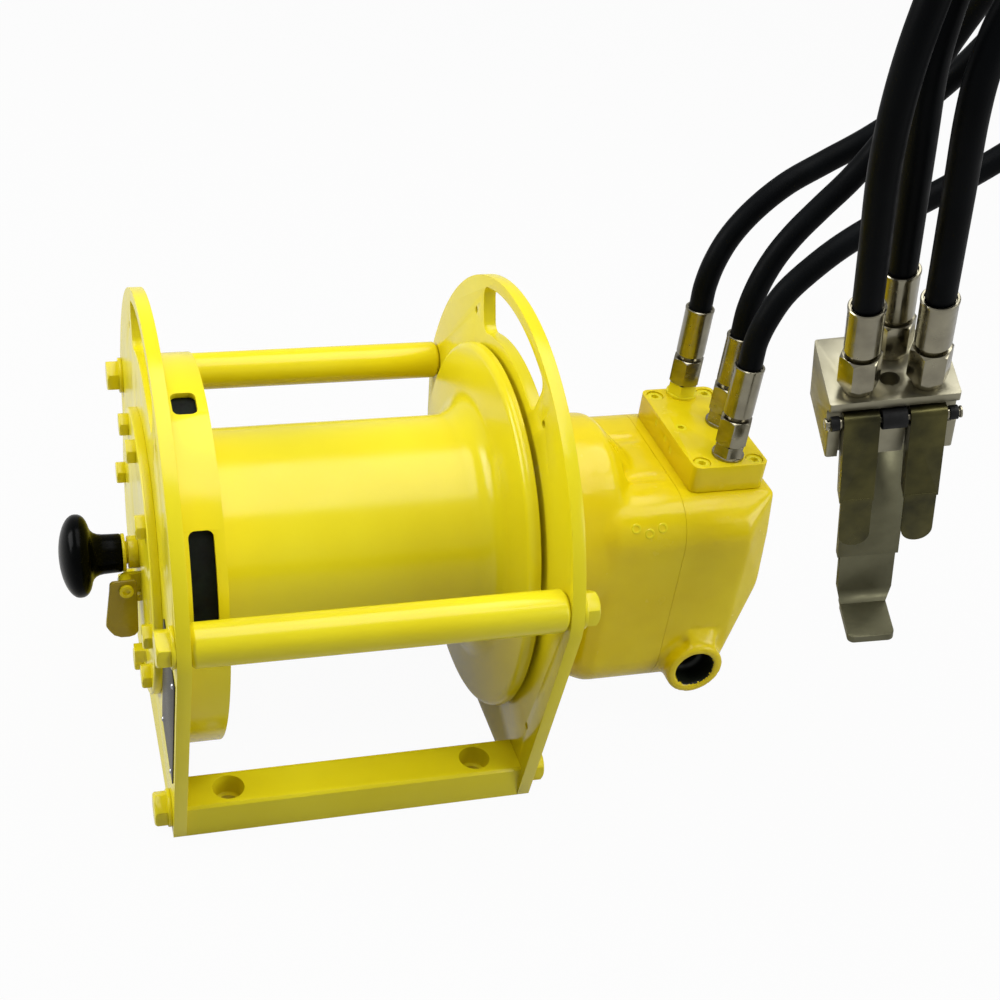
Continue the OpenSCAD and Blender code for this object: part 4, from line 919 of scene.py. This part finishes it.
@dataclass
class Motor:
    """Cast motor housing and its end cover with the air port."""

    plate_x: float = 145.0
    split_x: float = 274.0
    joint: float = 0.15
    spare: float = 10.0
    near: float = 0.05
    facing: float = 0.99
    voxel: float = 1.9
    smoothing: float = 0.5
    housing_rounds: int = 24
    cover_rounds: int = 9
    cast_angle: float = 40.0
    port: Point = (304.5, -100.0, 62.4)
    bore_r: float = 17.2
    web_z: float = 101.0
    web_y: float = -96.0
    web_back: float = 11.0
    bore_spare: float = 1.0
    plug: Profile = (
        (-3.0, 0.0), (-3.0, 4.2), (-0.2, 4.2), (0.3, 3.7), (0.3, 2.31), (-1.6, 1.89), (-1.6, 0.0),
    )
    plug_steps: int = 24
    plugs: Sequence[tuple[float, float, float, float]] = (
        (231.0, -80.9, 204.2, 35.7), (242.3, -83.4, 200.0, 28.3), (253.5, -81.4, 203.4, 34.3),
    )

    def lengthen(self, piece: bpy.types.Object, place: float, way: int) -> None:
        """Draws out a flat end of a casting, so that its corner can be trimmed sharp.

        Args:
            piece: Mesh object.
            place: Place of the end along X.
            way: One for an end that faces +X, minus one for -X.
        """
        unselect_mesh(piece)
        for face in piece.data.polygons:
            flat = face.normal.x * way > self.facing
            face.select = flat and abs(face.center.x - place * MM) < self.near * MM
        bpy.ops.object.mode_set(mode="EDIT")
        bpy.ops.mesh.select_mode(type="FACE")
        bpy.ops.mesh.extrude_region_move(
            TRANSFORM_OT_translate={"value": (way * self.spare * MM, 0, 0)}
        )
        bpy.ops.mesh.select_mode(type="VERT")
        bpy.ops.object.mode_set(mode="OBJECT")

    def slope_web(self, cover: bpy.types.Object) -> None:
        """Slopes the web above the port's boss back into the wall.

        Args:
            cover: Copy of the end cover.
        """
        unselect_mesh(cover)
        for v in cover.data.vertices:
            top = abs(v.co.z - self.web_z * MM) < self.near * MM
            v.select = top and abs(v.co.y - self.web_y * MM) < self.near * MM
        bpy.ops.object.mode_set(mode="EDIT")
        bpy.ops.transform.translate(value=(0, self.web_back * MM, 0))
        bpy.ops.object.mode_set(mode="OBJECT")

    def darken_bore(self, cover: bpy.types.Object) -> None:
        """Gives the unpainted inside of the air port a near-black finish, painted shade of the
        deep bore.

        Args:
            cover: Finished end cover.
        """
        cover.data.materials.append(SHADED_PORT_BORE.build())
        x, y, z = self.port
        for face in cover.data.polygons:
            away = math.hypot(face.center.x - x * MM, face.center.z - z * MM)
            inside = away < self.bore_r * MM and face.center.y < -self.bore_r * MM
            deep = face.center.y > (y + self.bore_spare) * MM
            face.material_index = int(inside and deep)

    def housing_plugs(self) -> None:
        """Three socket plugs in the shoulder of the housing."""
        made = []
        for x, y, z, lean in self.plugs:
            piece = lathe(self.plug, self.plug_steps)
            out = Vector((0, -math.cos(math.radians(lean)), math.sin(math.radians(lean))))
            piece.matrix_world = (
                Matrix.Translation(Vector((x, y, z)) * MM)
                @ out.to_track_quat("X", "Z").to_matrix().to_4x4()
            )
            settle(piece)
            made.append(piece)
        finish_piece(join(made), "housing_plugs", ENAMEL, Body.FRAME)

    def cast_skin(self, piece: bpy.types.Object, rounds: int) -> None:
        """Turns a joined solid into one skin with soft corners.

        Args:
            piece: Mesh object.
            rounds: Smoothing rounds.
        """
        apply_modifier(piece, "REMESH", mode="VOXEL", voxel_size=self.voxel * MM)
        apply_modifier(piece, "SMOOTH", factor=self.smoothing, iterations=rounds)

    def trim(self, piece: bpy.types.Object, place: float, way: int) -> None:
        """Cuts a piece flat at one place along X.

        Args:
            piece: Mesh object.
            place: Where the piece ends.
            way: One to cut off what lies towards +X, minus one for -X.
        """
        edit_all(piece)
        bpy.ops.mesh.bisect(
            plane_co=(place * MM, 0, 0), plane_no=(way, 0, 0), clear_outer=True, use_fill=True
        )
        bpy.ops.object.mode_set(mode="OBJECT")

    def build(self, frame: Frame) -> None:
        """Builds the pieces.

        Args:
            frame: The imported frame.
        """
        housing = frame.copy("motor_housing", flat=False)
        self.lengthen(housing, self.split_x, 1)
        self.lengthen(housing, self.plate_x, -1)
        self.cast_skin(housing, self.housing_rounds)
        self.trim(housing, self.split_x - self.joint, 1)
        self.trim(housing, self.plate_x, -1)
        finish_piece(
            housing, "motor_casting", CAST_ENAMEL, Body.FRAME, ["motor_housing"],
            self.cast_angle,
        )
        cover = frame.copy("motor_end_cover", flat=False)
        self.slope_web(cover)
        self.lengthen(cover, self.split_x, -1)
        self.cast_skin(cover, self.cover_rounds)
        self.trim(cover, self.split_x + self.joint, -1)
        finish_piece(
            cover, "motor_cover_casting", CAST_ENAMEL, Body.FRAME, ["motor_end_cover"],
            self.cast_angle,
        )
        self.darken_bore(cover)
        self.housing_plugs()


@dataclass
class Manifold:
    """Manifold block, its screws, adaptors, nuts and ferrules."""

    block_edge: float = 2.4
    hose_ports: Sequence[tuple[float, float]] = ((316, 53), (332, 5), (317, -43))
    ferrule_z: tuple[float, float] = (279.0, 325.0)
    pendant_ports: Sequence[tuple[float, float]] = ((-22, -17.5), (5, 13), (22, -17.5))
    pendant_ferrule_z: tuple[float, float] = (56.0, 96.0)
    screw_edge: float = 0.5
    adaptor_edge: float = 0.4
    nut_edge: float = 0.3
    ferrule_r: float = 12.0
    ferrule_steps: int = 48
    neck_r: float = 8.6
    neck_len: float = 3.0
    # Along the axis from the neck's end, and less than the ferrule's radius
    shoulder: Profile = ((0.0, 1.4), (0.8, 0.5), (2.0, 0.3))
    # Back from the open end, and less than the ferrule's radius
    lip: Profile = ((3.2, 0.3), (2.2, 0.0), (0.6, 0.0), (0.0, 0.6), (0.0, 1.8), (1.5, 2.3))
    painted_y: float = 30.0
    painted_z: float = 252.0

    def ferrule_profile(self, length: float) -> list[tuple[float, float]]:
        """Profile of a pressed ferrule that starts at nought.

        Args:
            length: Length of the ferrule.

        Returns:
            Points as position along the axis and radius.
        """
        shoulder = [(self.neck_len + x, self.ferrule_r - less) for x, less in self.shoulder]
        lip = [(length - x, self.ferrule_r - less) for x, less in self.lip]
        return [
            (0.0, 0.0), (0.0, self.neck_r), (self.neck_len, self.neck_r), *shoulder, *lip,
            (lip[-1][0], 0.0),
        ]

    def build(self, frame: Frame) -> None:
        """Builds the pieces.

        Args:
            frame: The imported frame.
        """
        frame.soften("manifold_block", CAST_ENAMEL, self.block_edge)
        frame.soften("manifold_screws", ENAMEL, self.screw_edge, segments=2)
        adaptors = frame.soften("hose_adaptors", NICKEL, self.adaptor_edge, segments=2)
        adaptors.data.materials.append(ENAMEL.build())
        for face in adaptors.data.polygons:
            low = face.center.z < self.painted_z * MM
            face.material_index = int(low and face.center.y > self.painted_y * MM)
        frame.soften("hose_nuts", NICKEL, self.nut_edge, segments=2)
        frame.soften("pendant_adaptors", NICKEL, self.nut_edge, segments=2)
        self.ferrules()

    def ferrules(self) -> None:
        """One crimped ferrule at each end of each hose."""
        made = []
        up = Matrix.Rotation(-math.pi / 2, 4, "Y")
        for base, ports, (low, high) in (
            (Matrix(), self.hose_ports, self.ferrule_z),
            (PENDANT, self.pendant_ports, self.pendant_ferrule_z),
        ):
            for x, y in ports:
                piece = lathe(self.ferrule_profile(high - low), self.ferrule_steps)
                piece.matrix_world = base @ Matrix.Translation(Vector((x, y, low)) * MM) @ up
                settle(piece)
                made.append(piece)
        finish_piece(join(made), "crimped_ferrules", NICKEL, Body.FRAME, ["hose_ferrules"])


@dataclass
class Hoses:
    """Three rubber hoses from the manifold to the pendant."""

    steps: int = 8
    tube_resolution: int = 7
    tube_angle: float = 50.0

    def route(self, name: str) -> list[Vector]:
        """Smooth line of one hose.

        Args:
            name: Name of the hose's CAD node.

        Returns:
            Points in metres from the manifold's ferrule to the pendant's.
        """
        (x, y), heights = HOSE_ENDS[name]
        points = [Vector(p) for p in HOSE_ROUTES[name]]
        points += [PENDANT @ Vector((x, y, z)) for z in heights]
        first = 2 * points[0] - points[1]
        last = 2 * points[-1] - points[-2]
        padded = [first, *points, last]
        smooth = []
        for i in range(1, len(padded) - 2):
            a, b, c, d = padded[i - 1:i + 3]
            for k in range(self.steps):
                t = k / self.steps
                smooth.append(0.5 * (
                    2 * b + (c - a) * t + (2 * a - 5 * b + 4 * c - d) * t * t
                    + (3 * b - a - 3 * c + d) * t ** 3
                ))
        return smooth + [points[-1]]

    def build(self, frame: Frame) -> None:
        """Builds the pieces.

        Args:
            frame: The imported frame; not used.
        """
        for name in HOSE_ROUTES:
            route = self.route(name)
            curve = bpy.data.curves.new(name, "CURVE")
            curve.dimensions = "3D"
            curve.bevel_depth = HOSE_DIAMETER / 2
            curve.bevel_resolution = self.tube_resolution
            curve.use_fill_caps = True
            spline = curve.splines.new("POLY")
            spline.points.add(len(route) - 1)
            for place, point in zip(spline.points, route):
                place.co = (*point, 1.0)
            tube = bpy.data.objects.new(f"{name}_tube", curve)
            bpy.context.scene.collection.objects.link(tube)
            activate(tube)
            bpy.ops.object.convert(target="MESH")
            tube = bpy.context.object
            finish_piece(
                tube, f"{name}_rubber", HOSE_RUBBER, Body.FRAME, [name], self.tube_angle
            )


@dataclass
class Pendant:
    """Valve block, levers, grip, pin and bushes."""

    block_edge: float = 1.0
    sheet_edge: float = 0.4
    lever_x: float = 21.3
    tongue_half: float = 10.5
    tongue_z: float = -94.0
    tongue_round: float = 10.2
    bend_y: float = -38.0
    bend_z: float = 16.0
    bend_round: float = 4.0
    near: float = 0.2
    close: float = 0.1

    def local(self, lever: bpy.types.Object, edge: bpy.types.MeshEdge) -> list[Vector]:
        """Ends of an edge in the pendant's own millimetres."""
        back = PENDANT.inverted()
        return [(back @ lever.data.vertices[i].co) / MM for i in edge.vertices]

    def tongue_corners(self, lever: bpy.types.Object, x: float) -> list[int]:
        """Short edges at the two corners of a lever's tongue.

        Args:
            lever: Copy of the lever.
            x: Place of the lever along the pendant.

        Returns:
            Numbers of the edges.
        """
        found = []
        for edge in lever.data.edges:
            ends = self.local(lever, edge)
            low = all(p.z < self.tongue_z + self.near for p in ends)
            side = all(abs(abs(p.x - x) - self.tongue_half) < self.close for p in ends)
            if low and side and abs(ends[0].x - ends[1].x) < self.close:
                found.append(edge.index)
        return found

    def top_bend(self, lever: bpy.types.Object) -> list[int]:
        """Front top edge of a lever, where the sheet is bent over.

        Args:
            lever: Copy of the lever.

        Returns:
            Numbers of the edges.
        """
        found = []
        for edge in lever.data.edges:
            ends = self.local(lever, edge)
            high = all(p.z > self.bend_z - self.near for p in ends)
            front = all(p.y < self.bend_y + self.near for p in ends)
            if high and front and abs(ends[0].x - ends[1].x) > self.tongue_half:
                found.append(edge.index)
        return found

    def round_corners(
        self, lever: bpy.types.Object, edges: Sequence[int], radius: float, segments: int
    ) -> None:
        """Rounds chosen edges of a lever.

        Args:
            lever: Copy of the lever.
            edges: Numbers of the edges.
            radius: Radius in millimetres.
            segments: Faces across the rounding.
        """
        edit_all(lever)
        bpy.ops.mesh.select_mode(type="EDGE")
        bpy.ops.mesh.select_all(action="DESELECT")
        bpy.ops.object.mode_set(mode="OBJECT")
        for number in edges:
            lever.data.edges[number].select = True
        bpy.ops.object.mode_set(mode="EDIT")
        bpy.ops.mesh.bevel(
            offset=radius * MM, segments=segments, affect="EDGES", clamp_overlap=False
        )
        bpy.ops.mesh.select_mode(type="VERT")
        bpy.ops.object.mode_set(mode="OBJECT")
        LOG.info("rounded %d edges of %s", len(edges), lever.name)

    def build(self, frame: Frame) -> None:
        """Builds the pieces.

        Args:
            frame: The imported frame.
        """
        frame.soften("pendant_block", SATIN_NICKEL, self.block_edge)
        frame.soften("pendant_grip", DULL_ZINC, self.block_edge)
        for node, x in (("lever_left", -self.lever_x), ("lever_right", self.lever_x)):
            lever = frame.copy(node)
            corners = self.tongue_corners(lever, x)
            self.round_corners(lever, corners, self.tongue_round, segments=8)
            self.round_corners(lever, self.top_bend(lever), self.bend_round, segments=5)
            round_edges(lever, self.sheet_edge)
            finish_piece(lever, f"{node}_pressing", PASSIVATED, Body(node), [node])
        frame.soften("pivot_pin", NICKEL, self.sheet_edge / 2, segments=2)
        frame.soften("pivot_bushes", BUSH_RUBBER, self.sheet_edge, segments=2)


@dataclass
class Drive:
    """Inner pieces that keep their CAD form."""

    finishes: dict[str, Finish] = field(default_factory=lambda: {
        "motor_screws": BLACK_OXIDE, "end_cover_screws": ENAMEL, "motor_cylinder": CAST_IRON,
        "motor_bearings": MACHINED, "gearbox_hub": MACHINED, "drum_bearings": MACHINED,
        "planet_carrier": MACHINED, "small_plugs": ENAMEL, "ring_gear": MACHINED,
        "rotor": MACHINED, "rotor_vanes": VANE, "motor_shaft": MACHINED, "sun_gear": MACHINED,
        "planet_gear_upper": MACHINED, "planet_gear_rear": MACHINED,
        "planet_gear_front": MACHINED, "clutch_rod": MACHINED, "plunger_left": MACHINED,
        "plunger_right": MACHINED,
    })

    def build(self, frame: Frame) -> None:
        """Dresses the nodes.

        Args:
            frame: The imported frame.
        """
        for node, finish in self.finishes.items():
            frame.paint(node, finish)


@dataclass
class Studio:
    """White floor, pale world and soft lamps."""

    floor_size: float = 30.0
    white: str = "FFFFFF"
    floor_colour: str = "A6A6A6"
    floor_roughness: float = 0.9
    world_strength: float = 0.10
    floor_glow: float = 0.96
    mirror_share: float = 0.5
    lamps: Sequence[tuple[str, Point, Point, float, float]] = (
        ("top_box", (0.35, 0.0, 2.1), (0.12, 0.0, 0.1), 1.9, 47.0),
        ("left_box", (-2.3, 0.6, 1.3), (0.0, 0.0, 0.15), 1.5, 52.0),
        ("front_box", (2.3, -1.8, 1.2), (0.25, 0.0, 0.15), 1.4, 30.0),
    )

    def build(self) -> None:
        """Builds the stage."""
        self.world()
        self.floor()
        for name, place, target, size, power in self.lamps:
            data = bpy.data.lights.new(name, "AREA")
            data.shape = "SQUARE"
            data.size = size
            data.energy = power
            lamp = bpy.data.objects.new(name, data)
            bpy.context.scene.collection.objects.link(lamp)
            aim = Vector(target) - Vector(place)
            lamp.matrix_world = (
                Matrix.Translation(place) @ aim.to_track_quat("-Z", "Y").to_matrix().to_4x4()
            )
        bpy.context.scene.view_settings.view_transform = "Standard"

    def seen(self, tree: bpy.types.NodeTree) -> bpy.types.NodeSocket:
        """Tells what the camera or a refraction looks at from what lights the object.

        Args:
            tree: Node tree that gets the nodes.

        Returns:
            Socket with one for those rays, a share for a reflection and else nought.
        """
        rays = add_node(tree, "ShaderNodeLightPath").outputs
        mirrored = add_node(
            tree, "ShaderNodeMath", {0: rays["Is Glossy Ray"], 1: self.mirror_share},
            operation="MULTIPLY",
        )
        first = add_node(
            tree, "ShaderNodeMath", {0: rays["Is Camera Ray"], 1: mirrored.outputs[0]},
            operation="MAXIMUM",
        )
        return add_node(
            tree, "ShaderNodeMath", {0: first.outputs[0], 1: rays["Is Transmission Ray"]},
            operation="MAXIMUM",
        ).outputs[0]

    def world(self) -> None:
        """White to the camera and a plain level for the object."""
        world = bpy.data.worlds.new("studio")
        world.use_nodes = True
        bpy.context.scene.world = world
        tree = world.node_tree
        tree.nodes.clear()
        level = add_node(
            tree, "ShaderNodeMapRange",
            {"Value": self.seen(tree), "To Min": self.world_strength, "To Max": 1.0},
        )
        shade_node = add_node(
            tree, "ShaderNodeBackground",
            {"Color": linear(self.white), "Strength": level.outputs["Result"]},
        )
        add_node(tree, "ShaderNodeOutputWorld", {"Surface": shade_node.outputs[0]})

    def floor(self) -> None:
        """A pale floor that shows white to the camera and keeps a soft shadow."""
        deselect()
        bpy.ops.mesh.primitive_plane_add(size=self.floor_size)
        plane = bpy.context.object
        plane.name = "studio_floor"
        material = bpy.data.materials.new("studio_floor_paper")
        material.use_nodes = True
        tree = material.node_tree
        shader = tree.nodes["Principled BSDF"]
        shader.inputs["Base Color"].default_value = linear(self.floor_colour)
        shader.inputs["Roughness"].default_value = self.floor_roughness
        glow = add_node(tree, "ShaderNodeEmission", {"Color": linear(self.white), "Strength": 1.0})
        share = add_node(
            tree, "ShaderNodeMath", {0: self.seen(tree), 1: self.floor_glow},
            operation="MULTIPLY",
        )
        mix = add_node(
            tree, "ShaderNodeMixShader",
            {0: share.outputs[0], 1: shader.outputs[0], 2: glow.outputs[0]},
        )
        tree.links.new(mix.outputs[0], tree.nodes["Material Output"].inputs["Surface"])
        plane.data.materials.append(material)
        plane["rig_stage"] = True


def main() -> None:
    """Builds the winch in order and reports each piece."""
    logging.basicConfig(level=logging.INFO, format="%(name)s %(message)s")
    frame = Frame()
    PhotoCamera().build()
    Studio().build()
    for part in (
        Hoses(), SideFrame(), Brake(), Clutch(), Drum(), Motor(), Manifold(), Pendant(), Drive(),
    ):
        LOG.info("building %s", type(part).__name__)
        part.build(frame)


if __name__ == "__main__":
    main()
